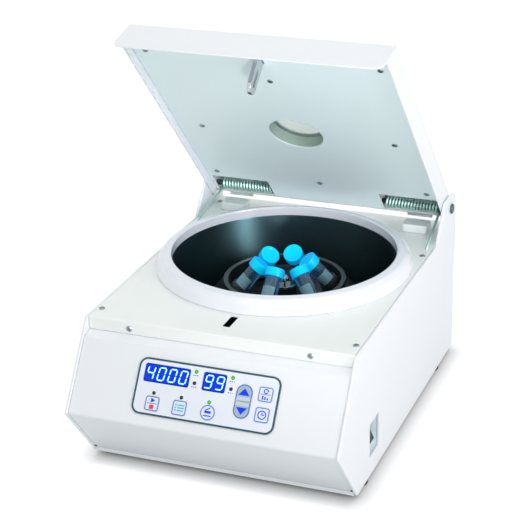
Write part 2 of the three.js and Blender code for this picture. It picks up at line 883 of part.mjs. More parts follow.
function motor() {
  const flange_z = motor_plate_top_z + seat_gap;
  const bore = flatRadius(shaft_radius + seat_gap, small_sides);
  return cut(
    joined(
      post(motor_radius, motor_bottom_z, motor_top_z, large_sides),
      post(motor_flange_radius, flange_z, flange_z + motor_plate_thickness, large_sides),
    ),
    post(bore, shaft_bottom_z - seat_gap, motor_top_z + cut_overrun, small_sides),
  );
}

function vibrationMount(index) {
  const angle = 2 * Math.PI * (index + 1 / 4) / mount_count;
  return post(mount_radius, tray_top_z + seat_gap, motor_plate_z - seat_gap, small_sides,
    mount_circle_radius * Math.cos(angle), mount_circle_radius * Math.sin(angle));
}

function shaftBearing() {
  const low = motor_top_z + seat_gap;
  const inner = flatRadius(shaft_radius + seat_gap, small_sides);
  return turned([
    [inner, low],
    [tower_hole_radius - running_gap, low],
    [tower_hole_radius - running_gap, low + bearing_height],
    [inner, low + bearing_height],
  ], small_sides);
}

function driveShaft() {
  return turned([
    [0, shaft_bottom_z],
    [shaft_radius, shaft_bottom_z],
    [shaft_radius, shoulder_z],
    [shoulder_radius, shoulder_z],
    [shoulder_radius, shoulder_z + shoulder_height],
    [shaft_radius, shoulder_z + shoulder_height],
    [shaft_radius, shaft_top_z],
    [0, shaft_top_z],
  ], small_sides);
}

// Rotor with its sleeves, and the tubes in them

// A tube's own frame: the origin at the top of its cap, z up along the tube.
function tubeMatrix(index) {
  const azimuth = THREE.MathUtils.degToRad(tube_first_azimuth_deg) + 2 * Math.PI * index / tube_count;
  const turn = new THREE.Euler(0, -tube_tilt, azimuth, 'ZYX');
  return new THREE.Matrix4().makeRotationFromEuler(turn).setPosition(
    cap_circle_radius * Math.cos(azimuth), cap_circle_radius * Math.sin(azimuth), cap_top_z);
}

function sleeve() {
  return post(sleeve_radius, -sleeve_end, -sleeve_start, small_sides);
}

function sleeveBore() {
  const radius = tube_radius + sleeve_clearance;
  const depth = tube_length + sleeve_floor_gap;
  return turned([
    [0, -depth],
    [tube_tip_radius + sleeve_clearance, -depth],
    [radius, -depth + tube_cone_length],
    [radius, -sleeve_start + cut_overrun],
    [0, -sleeve_start + cut_overrun],
  ], small_sides);
}

function rotor() {
  const bore = shaft_radius + running_gap;
  const base_z = shoulder_z + shoulder_height + seat_gap;
  const bottom_radius = rotor_radius - rotor_bottom_outer_inset;
  const body = turned([
    [rim_radius, rim_z],
    [rim_radius, rim_z - rim_height],
    [rotor_radius - flank_top_inset, flank_top_z],
    [rotor_radius - rotor_side_inset, flank_side_z],
    [rotor_radius, rotor_low_z],
    [bottom_radius, rotor_bottom_z],
    [bottom_radius - rotor_bottom_width, rotor_bottom_z],
    [rotor_radius - cavity_mid_inset, cavity_mid_z],
    [cavity_top_radius, cavity_top_z],
    [cavity_roof_radius, cavity_roof_z],
    [hub_foot_radius, hub_roof_z],
    [hub_radius, hub_roof_z],
    [hub_radius, base_z],
    [bore, base_z],
    [bore, hub_face_z],
    [hub_face_radius, hub_face_z],
    [hub_face_radius, dish_hub_z],
    [dish_low_radius, dish_low_z],
    [dish_edge_radius, dish_edge_z],
    [rim_radius - rim_width, rim_z],
  ], large_sides);
  const indices = Array.from({ length: tube_count }, (_, i) => i);
  const sleeves = indices.map((i) => sleeve().applyMatrix4(tubeMatrix(i)));
  const bores = indices.map((i) => sleeveBore().applyMatrix4(tubeMatrix(i)));
  return cut(joined(body, ...sleeves), ...bores);
}

function rotorNut() {
  const low = hub_face_z + seat_gap;
  const dome_z = low + nut_flange_height + (nut_height - nut_flange_height) * nut_straight_share;
  const dome_height = low + nut_height - dome_z;
  const dome = Array.from({ length: arc_steps + 1 }, (_, i) => {
    const angle = i / arc_steps * Math.PI / 2;
    return [nut_radius * Math.cos(angle), dome_z + dome_height * Math.sin(angle)];
  });
  const bore = shaft_radius + seat_gap;
  return turned([
    [bore, low],
    [nut_flange_radius, low],
    [nut_flange_radius, low + nut_flange_height],
    [nut_radius, low + nut_flange_height],
    ...dome,
    [0, shaft_top_z + seat_gap],
    [bore, shaft_top_z + seat_gap],
  ], small_sides);
}

function tube() {
  const top = -cap_top_thickness - seat_gap;
  const inner = tube_radius - tube_wall;
  const cone = -tube_length + tube_cone_length;
  return turned([
    [inner, top],
    [tube_radius, top],
    [tube_radius, cone],
    [tube_tip_radius, -tube_length],
    [0, -tube_length],
    [0, -tube_length + tube_wall],
    [tube_tip_radius - tube_wall / 2, -tube_length + tube_wall],
    [inner, cone],
  ], small_sides);
}

function cap() {
  const inner = tube_radius + seat_gap;
  return turned([
    [0, 0],
    [cap_radius - cap_bevel, 0],
    [cap_radius, -cap_bevel],
    [cap_radius, -cap_height],
    [inner, -cap_height],
    [inner, -cap_top_thickness],
    [0, -cap_top_thickness],
  ], small_sides);
}

// Lid, in its own frame: x across, y backward from the hinge axis, z up when it is closed

function flangeInnerU(v) {
  return lid_front_u + flange_run * (lid_top_v - v) / flange_drop - lid_sheet / Math.cos(flange_angle);
}

function lidPosts() {
  const side_x = lid_half_width - post_side_inset;
  const middle_x = lid_half_width - post_middle_inset;
  const places = [[0, lid_front_u - post_centre_front_setback], [0, post_centre_rear_u]];
  [-1, 1].forEach((side) => places.push(
    [side * side_x, lid_front_u - post_front_setback],
    [side * middle_x, window_u - post_middle_offset],
    [side * side_x, post_rear_u],
  ));
  return places.map(([x, u]) => post(post_radius, liner_top_v + seat_gap, lid_under_v + weld_depth,
    pin_sides, x, -u));
}

// What a flange's lower corner loses to its rounding, in the flange's own plane.
function flangeCorner(side) {
  const length = Math.hypot(flange_run, flange_drop);
  const [x, y] = [lid_half_width, -length];
  const r = flange_corner_radius;
  const arc = Array.from({ length: 2 * arc_steps + 1 }, (_, i) => {
    const angle = i / (2 * arc_steps) * Math.PI / 2;
    return new THREE.Vector2(side * (x - r + r * Math.sin(angle)), y + r - r * Math.cos(angle));
  });
  const over = cut_overrun;
  const outline = [
    ...arc,
    new THREE.Vector2(side * (x + over), y + r),
    new THREE.Vector2(side * (x + over), y - over),
    new THREE.Vector2(side * (x - r), y - over),
  ];
  return plate(side < 0 ? outline.reverse() : outline, -cut_overrun - lid_sheet, cut_overrun)
    .rotateX(Math.PI / 2 - flange_angle)
    .translate(0, -lid_front_u, lid_top_v);
}

function lidShell() {
  const w = lid_half_width;
  const skin = sidePlate(sheetOutline([
    [-lid_rear_u, lid_rear_lip_v],
    [-lid_rear_u, lid_top_v],
    [-lid_front_u, lid_top_v],
    [-lid_front_u - flange_run, lid_top_v - flange_drop],
  ], lid_sheet), -w, w);
  const lip_front_u = flangeInnerU(side_lip_v) + weld_depth;
  const wall_outline = roundedOutline([
    [-lid_rear_u, lid_under_v + weld_depth],
    [-flangeInnerU(lid_under_v) - weld_depth, lid_under_v + weld_depth],
    [-lip_front_u, side_lip_v],
    [-lid_rear_u, side_lip_v, side_corner_radius],
  ]);
  const walls = [-w, w - lid_sheet].map((x) => sidePlate(wall_outline, x, x + lid_sheet));
  const tabs = [-1, 1].map((side) => {
    const edges = [side * (w - tab_inset - tab_width), side * (w - tab_inset)].sort((a, b) => a - b);
    return block([edges[0], -lid_rear_u - lid_sheet, lid_rear_lip_v - tab_drop],
      [edges[1], -lid_rear_u, lid_rear_lip_v + weld_depth]);
  });
  const knuckle_radius = rod_hole_radius + knuckle_wall;
  const knuckle_x = cutout_inner_x - knuckle_gap;
  const knuckles = [-1, 1].flatMap((side) => {
    const [low, high] = [side * (knuckle_x - knuckle_width), side * knuckle_x].sort((a, b) => a - b);
    return [
      pinAlongX(knuckle_radius, low, high, small_sides, 0, 0),
      block([low, -knuckle_radius, 0], [high, knuckle_radius, lid_under_v + weld_depth]),
    ];
  });
  return cut(
    joined(skin, ...walls, ...tabs, ...knuckles, ...lidPosts()),
    pinAlongX(flatRadius(rod_hole_radius, small_sides), -w - cut_overrun, w + cut_overrun, small_sides, 0, 0),
    post(skin_hole_radius, lid_under_v - cut_overrun, lid_top_v + cut_overrun, large_sides, 0, -window_u),
    flangeCorner(-1),
    flangeCorner(1),
  );
}

function lidLiner() {
  const w = lid_half_width - lid_sheet - liner_side_gap;
  const front_u = flangeInnerU(liner_v) - liner_front_gap;
  const rear_u = lid_rear_u + lid_sheet + liner_rear_gap;
  const collar_top = lid_under_v - window_thickness - 2 * seat_gap;
  const corners = [-1, 1].map((side) => {
    const edges = [side * cutout_inner_x, side * cutout_outer_x].sort((a, b) => a - b);
    return block([edges[0], -cutout_u, liner_v - cut_overrun],
      [edges[1], -rear_u + cut_overrun, liner_top_v + cut_overrun]);
  });
  return cut(
    joined(
      block([-w, -front_u, liner_v], [w, -rear_u, liner_top_v]),
      post(window_hole_radius + collar_wall, liner_v, collar_top, large_sides, 0, -window_u),
    ),
    post(window_hole_radius, liner_v - cut_overrun, collar_top + cut_overrun, large_sides, 0, -window_u),
    block(
      [-tongue_thickness / 2 - tongue_liner_gap, -tongue_front_u - tongue_liner_gap, liner_v - cut_overrun],
      [tongue_thickness / 2 + tongue_liner_gap, -tongue_rear_u + tongue_liner_gap, liner_top_v + cut_overrun],
    ),
    ...corners,
  );
}

function lidWindow() {
  const top = lid_under_v - seat_gap;
  return post(window_radius, top - window_thickness, top, large_sides, 0, -window_u);
}

function latchTongue() {
  const top = lid_under_v - seat_gap;
  const half = tongue_thickness / 2;
  const slot_u = tongue_slot_rear_u + tongue_slot_width / 2;
  const slot_v = tongue_slot_top_v - tongue_slot_length / 2;
  const blade = sidePlate(roundedOutline([
    [-tongue_front_u, tongue_tip_v, tongue_tip_radius],
    [-tongue_rear_u, tongue_tip_v, tongue_tip_radius],
    [-tongue_rear_u, top],
    [-tongue_front_u, top],
  ]), -half, half);
  const slot = sidePlate(rectangle(tongue_slot_width, tongue_slot_length,
    tongue_slot_width / 2 - weld_depth, -slot_u, slot_v), -half - cut_overrun, half + cut_overrun);
  return cut(
    joined(blade, block(
      [-tongue_foot_width / 2, -tongue_front_u - tongue_foot_margin, top - tongue_foot_thickness],
      [tongue_foot_width / 2, -tongue_rear_u + tongue_foot_margin, top])),
    slot,
  );
}

// Latch under the deck: the bolt slides to the left through the tongue's slot

const bolt_y = hinge_y - tongue_slot_rear_u - tongue_slot_width / 2;
const bolt_x = tongue_thickness / 2 + bolt_gap;

function latchBolt() {
  const tip_end = bolt_x + bolt_tip_length;
  return joined(
    pinAlongX(bolt_tip_radius, bolt_x, tip_end + weld_depth, small_sides, bolt_y, bolt_z),
    pinAlongX(bolt_radius, tip_end, bolt_x + bolt_length, small_sides, bolt_y, bolt_z),
  );
}

function latchBracket() {
  const top = deck_under_z - seat_gap;
  const half = bracket_width / 2;
  return cut(
    joined(
      block([bracket_plate_x, bolt_y - half, deck_z - bracket_drop],
        [bracket_plate_x + bracket_thickness, bolt_y + half, top]),
      block([bracket_plate_x, bolt_y - half, top - bracket_thickness],
        [bracket_plate_x + bracket_length, bolt_y + half, top]),
    ),
    pinAlongX(flatRadius(bolt_radius + seat_gap, small_sides), bracket_plate_x - cut_overrun,
      bracket_plate_x + bracket_thickness + cut_overrun, small_sides, bolt_y, bolt_z),
  );
}

function latchSolenoid() {
  const top = deck_under_z - seat_gap - bracket_thickness - seat_gap;
  const bore_end = bolt_x + bolt_length + cut_overrun;
  return cut(
    solid(block([solenoid_x, bolt_y - solenoid_width / 2, top - solenoid_height],
      [solenoid_x + solenoid_length, bolt_y + solenoid_width / 2, top])),
    pinAlongX(flatRadius(bolt_radius + seat_gap, small_sides), solenoid_x - cut_overrun, bore_end,
      small_sides, bolt_y, bolt_z),
  );
}

// Hinge rod and the two torsion springs round it

function hingeRod() {
  const head = half_width + seat_gap;
  const end = head + rod_head_height;
  return turned([
    [0, -end],
    [rod_head_radius, -end],
    [rod_head_radius, -head],
    [rod_radius, -head],
    [rod_radius, head],
    [rod_head_radius, head],
    [rod_head_radius, end],
    [0, end],
  ], small_sides).rotateY(Math.PI / 2).translate(0, hinge_y, hinge_z);
}

// The middle line of the right-hand spring's wire, from its leg in the lid to its leg in the deck.
function springLine() {
  const foot_z = deck_z + outer_leg_rise;
  const back = hinge_y - outer_leg_y;
  const drop = hinge_z - foot_z;
  const leg_slope = Math.atan2(drop, back) - Math.asin(coil_radius / Math.hypot(back, drop));
  const start_angle = Math.PI / 2 - open_angle;
  const sweep = 2 * Math.PI * coil_turns + start_angle + Math.PI / 2 - leg_slope;
  const count = Math.round(curl_steps * sweep / (2 * Math.PI));
  const coil = Array.from({ length: count + 1 }, (_, i) => {
    const angle = start_angle - sweep * i / count;
    return new THREE.Vector3(coil_inner_x + (coil_outer_x - coil_inner_x) * i / count,
      hinge_y + coil_radius * Math.cos(angle), hinge_z + coil_radius * Math.sin(angle));
  });
  const lid_leg = coil[0].clone().add(new THREE.Vector3(
    0, -inner_leg_length * Math.cos(open_angle), inner_leg_length * Math.sin(open_angle)));
  const corner = new THREE.Vector3(outer_leg_x, outer_leg_y, foot_z);
  const leaving = coil[count].clone().sub(corner).normalize();
  const bend = new THREE.QuadraticBezierCurve3(
    corner.clone().addScaledVector(leaving, leg_bend_radius),
    corner,
    new THREE.Vector3(outer_leg_x, outer_leg_y, foot_z - leg_bend_radius));
  return { coil, points: [lid_leg, ...coil, ...bend.getPoints(arc_steps),
    new THREE.Vector3(outer_leg_x, outer_leg_y, foot_z - outer_leg_depth)] };
}

// One unbroken tube along a line of points, with flat ends.
function sweptTube(points, radius, sides) {
  const tangents = points.map((point, i) => {
    const before = points[Math.max(i - 1, 0)];
    const after = points[Math.min(i + 1, points.length - 1)];
    const back = i > 0 ? point.clone().sub(before).normalize() : new THREE.Vector3();
    const ahead = i < points.length - 1 ? after.clone().sub(point).normalize() : new THREE.Vector3();
    return back.add(ahead).normalize();
  });
  let across = new THREE.Vector3(1, 0, 0);
  const positions = [];
  points.forEach((point, i) => {
    across = across.clone().addScaledVector(tangents[i], -across.dot(tangents[i])).normalize();
    const other = tangents[i].clone().cross(across);
    for (let k = 0; k < sides; k += 1) {
      const angle = 2 * Math.PI * k / sides;
      const place = point.clone().addScaledVector(across, radius * Math.cos(angle))
        .addScaledVector(other, radius * Math.sin(angle));
      positions.push(place.x, place.y, place.z);
    }
  });
  const index = [];
  for (let i = 0; i < points.length - 1; i += 1) {
    for (let k = 0; k < sides; k += 1) {
      const [a, b] = [i * sides + k, i * sides + (k + 1) % sides];
      index.push(a, b, a + sides, b, b + sides, a + sides);
    }
  }
  const last = (points.length - 1) * sides;
  for (let k = 1; k < sides - 1; k += 1) {
    index.push(0, k + 1, k, last, last + k, last + k + 1);
  }
  const geometry = new THREE.BufferGeometry();
  geometry.setAttribute('position', new THREE.Float32BufferAttribute(positions, 3));
  geometry.setIndex(index);
  return geometry;
}

// The least gap between the coil's turns, measured on the middle line's points.
function leastCoilGap(coil) {
  let least = Infinity;
  for (let i = 0; i < coil.length; i += 1) {
    for (let j = i + Math.floor(curl_steps / 2); j < coil.length; j += 1) {
      least = Math.min(least, coil[i].distanceTo(coil[j]) - 2 * wire_radius);
    }
  }
  return least;
}

const spring_line = springLine();
console.log(`least gap between a lid spring's turns: ${leastCoilGap(spring_line.coil).toFixed(2)} mm`);

function lidSpring(side) {
  const points = spring_line.points.map((point) => new THREE.Vector3(side * point.x, point.y, point.z));
  return sweptTube(points, wire_radius, wire_sides);
}

// Controls, in the sloped face's own frame

const overlay_low = seat_gap;
const overlay_high = seat_gap + overlay_thickness;
const board_top = -board_depth;

function controlOverlay() {
  const outline = rectangle(overlay_width, overlay_high_s - overlay_low_s, overlay_corner_radius,
    0, (overlay_high_s + overlay_low_s) / 2);
  const keys = keyPlaces();
  const single = keys.filter((key) => !key.domed).map((key) => plate(
    keyOutline(key, seat_gap), overlay_low - cut_overrun, overlay_high + cut_overrun));
  const pad = plate(rectangle(arrow_pad_width + 2 * seat_gap, arrow_pad_height + 2 * seat_gap,
    arrow_pad_width / 2, arrow_pad_x, arrow_pad_s), overlay_low - cut_overrun, overlay_high + cut_overrun);
  const windows = displays.map((display) => displayHole(display, overlay_low - cut_overrun,
    overlay_high + cut_overrun));
  return cut(solid(plate(outline, overlay_low, overlay_high)), ...single, pad, ...windows);
}

function controlBoard() {
  const half = overlay_width / 2 - board_margin;
  return block([-half, overlay_low_s + board_margin, board_top - board_thickness],
    [half, overlay_high_s - board_margin, board_top]);
}

function display(place) {
  const outline = rectangle(place.width - 2 * seat_gap, display_height - 2 * seat_gap, 0, place.x, display_s);
  return plate(outline, board_top + seat_gap, overlay_high - display_recess);
}

function key(place) {
  const high = overlay_high + key_proud;
  const stem_end = board_top + seat_gap + key_travel;
  return joined(
    plate(keyOutline(place), high - key_thickness, high),
    post(stem_radius, stem_end, high - key_thickness + weld_depth, pin_sides, place.x, place.s),
  );
}

// Rocker switch in its pocket

const pocket_floor_x = half_width - pocket_depth;
const rocker_pivot_x = pocket_floor_x - rocker_pivot_depth;

function switchFrame() {
  const outer_x = inner_half_width - seat_gap;
  const back_x = pocket_floor_x - pocket_wall;
  const wide = pocket_width + 2 * pocket_wall;
  const high = pocket_height + 2 * pocket_wall;
  return cut(
    solid(centredBlock([(outer_x + back_x) / 2, pocket_y, pocket_z], [outer_x - back_x, wide, high])),
    centredBlock([pocket_floor_x + pocket_depth, pocket_y, pocket_z],
      [2 * pocket_depth, pocket_width, pocket_height]),
    centredBlock([pocket_floor_x, pocket_y, pocket_z], [2 * (pocket_wall + cut_overrun),
      rocker_width + 2 * seat_gap, 2 * (rocker_half_length + rocker_hole_margin)]),
  );
}

// The rocker's outline is drawn as length along the panel and height out of it, then tilted, lower end out.
function rocker() {
  const l = rocker_half_length;
  const outline = [
    [-l, rocker_tip_height],
    [-l, rocker_waist_height],
    [-rocker_foot_half_length, -rocker_foot_depth],
    [rocker_foot_half_length, -rocker_foot_depth],
    [l, rocker_waist_height],
    [l, rocker_tip_height],
    [0, rocker_valley_height],
  ].map(([along, out]) => new THREE.Vector2(along, out));
  const upright = new THREE.Matrix4().makeBasis(
    new THREE.Vector3(0, 0, 1), new THREE.Vector3(1, 0, 0), new THREE.Vector3(0, 1, 0));
  return plate(outline, -rocker_width / 2, rocker_width / 2)
    .applyMatrix4(upright)
    .rotateY(-THREE.MathUtils.degToRad(rocker_tilt_deg))
    .translate(rocker_pivot_x, pocket_y, pocket_z);
}

// The whole centrifuge

const centrifuge = new THREE.Group();

centrifuge.add(
  node('base_tray', baseTray(), deck_paint()),
  node('side_panel_left', sidePanel(-1), white_paint()),
  node('side_panel_right', sidePanel(1, pocketHole()), white_paint()),
  node('rear_panel', rearPanel(), white_paint()),
  node('front_panel', frontPanel(), white_paint()),
  node('top_cover', topCover(), deck_paint()),
  node('stop_block_left', stopBlock(-1), white_plastic()),
  node('stop_block_right', stopBlock(1), white_plastic()),
  node('power_inlet', powerInlet(), black_plastic()),
  node('main_board', mainBoard(), material(0x1d6b3a, 0.5, 0.0)),
  node('switch_frame', switchFrame(), white_plastic()),
  node('rocker', rocker(), black_plastic()),
);

const foot_x = half_width - foot_inset;
const foot_front_y = base_front_y + foot_front_inset;
const foot_rear_y = case_rear_y - foot_rear_inset;
[[-foot_x, foot_front_y, 'front_left'], [foot_x, foot_front_y, 'front_right'],
  [-foot_x, foot_rear_y, 'rear_left'], [foot_x, foot_rear_y, 'rear_right']].forEach(([x, y, place]) => {
  centrifuge.add(node(`foot_${place}`, foot(x, y), material(0x161a22, 0.8, 0.0)));
});

centrifuge.add(
  node('bowl_ring', bowlRing(), white_plastic()),
  node('bowl', bowl(), material(0x1b1c20, 0.3, 0.2)),
  node('motor_plate', motorPlate(), material(0xa9abad, 0.5, 0.9)),
  node('motor', motor(), material(0x2b2d31, 0.45, 0.3)),
  node('shaft_bearing', shaftBearing(), steel()),
);
for (let i = 0; i < mount_count; i += 1) {
  centrifuge.add(node(`vibration_mount_${i + 1}`, vibrationMount(i), material(0x1a1a1c, 0.85, 0.0)));
}

const rotor_group = new THREE.Group();
rotor_group.add(
  node('drive_shaft', driveShaft(), steel()),
  node('rotor', rotor(), material(0x24262b, 0.38, 0.3)),
  node('rotor_nut', rotorNut(), material(0xd9dde2, 0.12, 1.0)),
);
for (let i = 0; i < tube_count; i += 1) {
  const holder = new THREE.Group();
  holder.applyMatrix4(tubeMatrix(i));
  holder.add(
    node(`tube_${i + 1}`, tube(), material(0x9fb0bd, 0.2, 0.0)),
    node(`cap_${i + 1}`, cap(), material(0x12b4f0, 0.35, 0.0)),
  );
  rotor_group.add(holder);
}
centrifuge.add(rotor_group);

const lid_group = new THREE.Group();
lid_group.position.set(0, hinge_y, hinge_z);
lid_group.rotation.x = -open_angle;
lid_group.add(
  node('lid_shell', lidShell(), white_paint()),
  node('lid_liner', lidLiner(), material(0xe6eaf0, 0.4, 0.0)),
  node('lid_window', lidWindow(), material(0xdfe6ea, 0.08, 0.0)),
  node('latch_tongue', latchTongue(), steel()),
);
centrifuge.add(lid_group);

centrifuge.add(
  node('hinge_rod', hingeRod(), steel()),
  node('lid_spring_left', lidSpring(-1), steel()),
  node('lid_spring_right', lidSpring(1), steel()),
  node('latch_bracket', latchBracket(), steel()),
  node('latch_solenoid', latchSolenoid(), material(0x33363c, 0.5, 0.2)),
  node('latch_bolt', latchBolt(), steel()),
);

const face_group = new THREE.Group();
face_group.applyMatrix4(face_matrix);
face_group.add(
  node('control_overlay', controlOverlay(), material(0xe9eef4, 0.35, 0.0)),
  node('control_board', controlBoard(), material(0x1d6b3a, 0.5, 0.0)),
);
displays.forEach((place) => face_group.add(node(place.name, display(place), material(0x1a4fc8, 0.3, 0.0))));
keyPlaces().forEach((place) => face_group.add(node(place.name, key(place), material(0xe4eaf2, 0.4, 0.0))));
centrifuge.add(face_group);

// The origin is under the middle of the whole object, on the bench.
centrifuge.updateMatrixWorld(true);
const bounds = new THREE.Box3().setFromObject(centrifuge, true);
const middle = bounds.getCenter(new THREE.Vector3());
centrifuge.position.set(-middle.x, -middle.y, -bounds.min.z);

export default centrifuge;
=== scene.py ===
import json
import math

import bmesh
import bpy
from bpy.props import FloatProperty, FloatVectorProperty, IntProperty, PointerProperty
from mathutils import Matrix, Vector


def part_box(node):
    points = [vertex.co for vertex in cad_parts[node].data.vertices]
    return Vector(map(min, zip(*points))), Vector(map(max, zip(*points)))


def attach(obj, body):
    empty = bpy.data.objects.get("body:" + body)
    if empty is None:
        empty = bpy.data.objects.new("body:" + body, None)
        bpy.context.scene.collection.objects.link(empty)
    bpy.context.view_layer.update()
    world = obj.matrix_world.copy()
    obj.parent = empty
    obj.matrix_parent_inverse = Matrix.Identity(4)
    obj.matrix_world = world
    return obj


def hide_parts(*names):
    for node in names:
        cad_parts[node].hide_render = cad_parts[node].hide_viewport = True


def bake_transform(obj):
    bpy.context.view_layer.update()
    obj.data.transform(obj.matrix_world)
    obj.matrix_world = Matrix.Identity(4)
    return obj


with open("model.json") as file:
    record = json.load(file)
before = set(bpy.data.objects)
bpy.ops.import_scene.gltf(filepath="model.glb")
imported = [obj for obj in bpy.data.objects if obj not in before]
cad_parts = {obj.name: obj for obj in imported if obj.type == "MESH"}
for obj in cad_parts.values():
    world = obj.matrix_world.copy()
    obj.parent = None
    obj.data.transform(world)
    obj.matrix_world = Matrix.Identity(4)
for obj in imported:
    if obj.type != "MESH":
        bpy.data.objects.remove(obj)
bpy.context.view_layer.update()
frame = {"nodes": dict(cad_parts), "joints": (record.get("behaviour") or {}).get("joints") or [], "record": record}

bl_info = {
    "name": "Low-speed bench centrifuge",
    "version": (1, 0, 0),
    "blender": (4, 5, 0),
    "location": "View3D > Sidebar > Centrifuge",
    "description": "Builds the finished look of a bench centrifuge on its construction frame",
    "category": "Add Mesh",
}

# Units and counts
MM = 0.001
QUARTER = math.pi / 2
FULL = 2 * math.pi
ARC_STEPS = 8
SMALL_STEPS = 4
PIN_SIDES = 24
BOSS_SIDES = 32
ROD_SIDES = 48
NUT_SIDES = 64
DISC_SIDES = 96
ROTOR_SIDES = 144
DECK_HOLE_SIDES = 160
RING_SIDES = 192
WELD = 0.001 * MM

# Edges and shading
EDGE_ANGLE = 0.6
SMOOTH_ANGLE = 0.7
SHARP_ANGLE = 0.5
ROUND_ANGLE = 1.0
NORMAL_WEIGHT = 80
LARGE_FLAT = (40 * MM) ** 2

# The frame's own places: the rotor's axis, and the side panels' lower edge as height zero
ring_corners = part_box("bowl_ring")
datum = Vector((0, (ring_corners[0].y + ring_corners[1].y) / 2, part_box("side_panel_left")[0].z))
case_place = Matrix.Translation(datum)


def reach(node):
    """A node's lowest and highest corner, measured from the rotor's axis and the side panels' lower edge."""
    return [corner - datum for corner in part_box(node)]


hinge = next(joint for joint in frame["joints"] if joint["name"] == "lid_hinge")
hinge_point = Vector(hinge["pos_m"]) - datum
open_angle = -math.radians(hinge["range_deg"][0])
lid_place = case_place @ Matrix.Translation(hinge_point) @ Matrix.Rotation(-open_angle, 4, "X")

half_width = reach("side_panel_right")[1].x
inner_half_width = reach("side_panel_right")[0].x
sheet_half_width = reach("front_panel")[1].x
deck_z = reach("top_cover")[1].z
deck_flange_y = reach("top_cover")[0].y
deck_rear_y = reach("top_cover")[1].y
bend_y = reach("side_panel_right")[0].y
ring_radius = reach("bowl_ring")[1].x
ring_foot_z, ring_top_z = (corner.z for corner in reach("bowl_ring"))
bowl_flange_radius = reach("bowl")[1].x
bowl_under_z = reach("bowl")[0].z
foot_low_z, foot_high_z = (corner.z for corner in reach("foot_front_left"))

# Sizes of the sheet metal
sheet = 1.5 * MM
proud = 1.5 * MM
gap = 0.3 * MM
base_front_y = -184 * MM
deck_front_y = -184.8 * MM
case_rear_y = deck_rear_y + proud
bend_z = 69.7 * MM
slope = Vector((deck_front_y - bend_y, deck_z - bend_z)).normalized()
slope_angle = math.atan2(slope.y, slope.x)
face_place = case_place @ Matrix.Translation(
    (0, bend_y + slope.y * proud, bend_z - slope.x * proud)) @ Matrix.Rotation(slope_angle, 4, "X")


# Modelling helpers

def single(operator, **values):
    """Adds a primitive with nothing else selected, and gives it back."""
    if bpy.context.object and bpy.context.object.mode != "OBJECT":
        bpy.ops.object.mode_set(mode="OBJECT")
    bpy.ops.object.select_all(action="DESELECT")
    operator(**values)
    return bpy.context.object


def alone(piece):
    """Makes one object the only selected and the active one."""
    bpy.ops.object.select_all(action="DESELECT")
    piece.select_set(True)
    bpy.context.view_layer.objects.active = piece
    return piece


def settle(piece, place=None):
    """Moves a piece by a matrix and puts its place into its mesh."""
    alone(piece)
    if place is not None:
        piece.matrix_world = place @ piece.matrix_world
    bpy.ops.object.transform_apply(location=True, rotation=True, scale=True)
    return piece


def drawn(points):
    """A line of edges through the points, drawn by extruding one corner; the piece stays in edit mode."""
    piece = single(bpy.ops.mesh.primitive_plane_add, size=MM, location=points[0], enter_editmode=True)
    bpy.ops.mesh.select_mode(type="VERT")
    bpy.ops.mesh.merge(type="CENTER")
    for here, there in zip(points, points[1:]):
        bpy.ops.mesh.extrude_vertices_move(TRANSFORM_OT_translate={"value": there - here})
    bpy.ops.mesh.select_all(action="SELECT")
    return piece


def filled(points, travel):
    """A closed outline, filled and drawn out along the travel."""
    piece = drawn(points)
    bpy.ops.mesh.edge_face_add()
    bpy.ops.mesh.extrude_region_move(TRANSFORM_OT_translate={"value": travel})
    bpy.ops.mesh.select_all(action="SELECT")
    bpy.ops.mesh.normals_make_consistent(inside=False)
    bpy.ops.object.mode_set(mode="OBJECT")
    return settle(piece)


def turned(profile, sides=DISC_SIDES):
    """A body turned about the upright axis from a profile of radius and height."""
    points = [Vector((radius, 0, height)) for radius, height in profile]
    piece = drawn(points)
    bpy.ops.mesh.spin(steps=sides, angle=FULL, center=(0, 0, 0), axis=(0, 0, 1))
    bpy.ops.mesh.select_all(action="SELECT")
    bpy.ops.mesh.remove_doubles(threshold=WELD)
    bpy.ops.mesh.normals_make_consistent(inside=False)
    bpy.ops.object.mode_set(mode="OBJECT")
    return settle(piece)


def rounded(corners, steps=ARC_STEPS):
    """The corners of a closed outline, each given as x, y and a radius, with their arcs worked out."""
    points = []
    for i, (x, y, *rest) in enumerate(corners):
        corner = Vector((x, y))
        radius = rest[0] if rest else 0
        if not radius:
            points.append(corner)
            continue
        before = Vector(corners[i - 1][:2])
        after = Vector(corners[(i + 1) % len(corners)][:2])
        back = (before - corner).normalized()
        ahead = (after - corner).normalized()
        half = math.acos(max(-1, min(1, back.dot(ahead)))) / 2
        centre = corner + (back + ahead).normalized() * radius / math.sin(half)
        start = corner + back * radius / math.tan(half) - centre
        end = corner + ahead * radius / math.tan(half) - centre
        first = math.atan2(start.y, start.x)
        sweep = (math.atan2(end.y, end.x) - first + math.pi) % FULL - math.pi
        for k in range(steps + 1):
            turn = first + sweep * k / steps
            points.append(centre + Vector((math.cos(turn), math.sin(turn))) * radius)
    return points


def looped(corners, steps=ARC_STEPS):
    """A closed profile for turning: its rounded corners, with the first point again at the end."""
    points = rounded(corners, steps)
    return points + points[:1]


def sheet_outline(path, thickness):
    """A bent sheet's outline: the outer path, then the same path moved to its left by the thickness."""
    along = [(there - here).normalized() for here, there in zip(path, path[1:])]
    normals = [Vector((-step.y, step.x)) for step in along]
    inner = []
    for i, point in enumerate(path):
        before = normals[max(i - 1, 0)]
        after = normals[min(i, len(normals) - 1)]
        mitre = (before + after).normalized()
        inner.append(point + mitre * thickness / mitre.dot(after))
    return path + inner[::-1]


def box_corners(low_x, high_x, low_y, high_y, radius=0):
    """A rectangle's corners, all with one radius."""
    places = ((low_x, low_y), (high_x, low_y), (high_x, high_y), (low_x, high_y))
    return [(x, y, radius) for x, y in places]


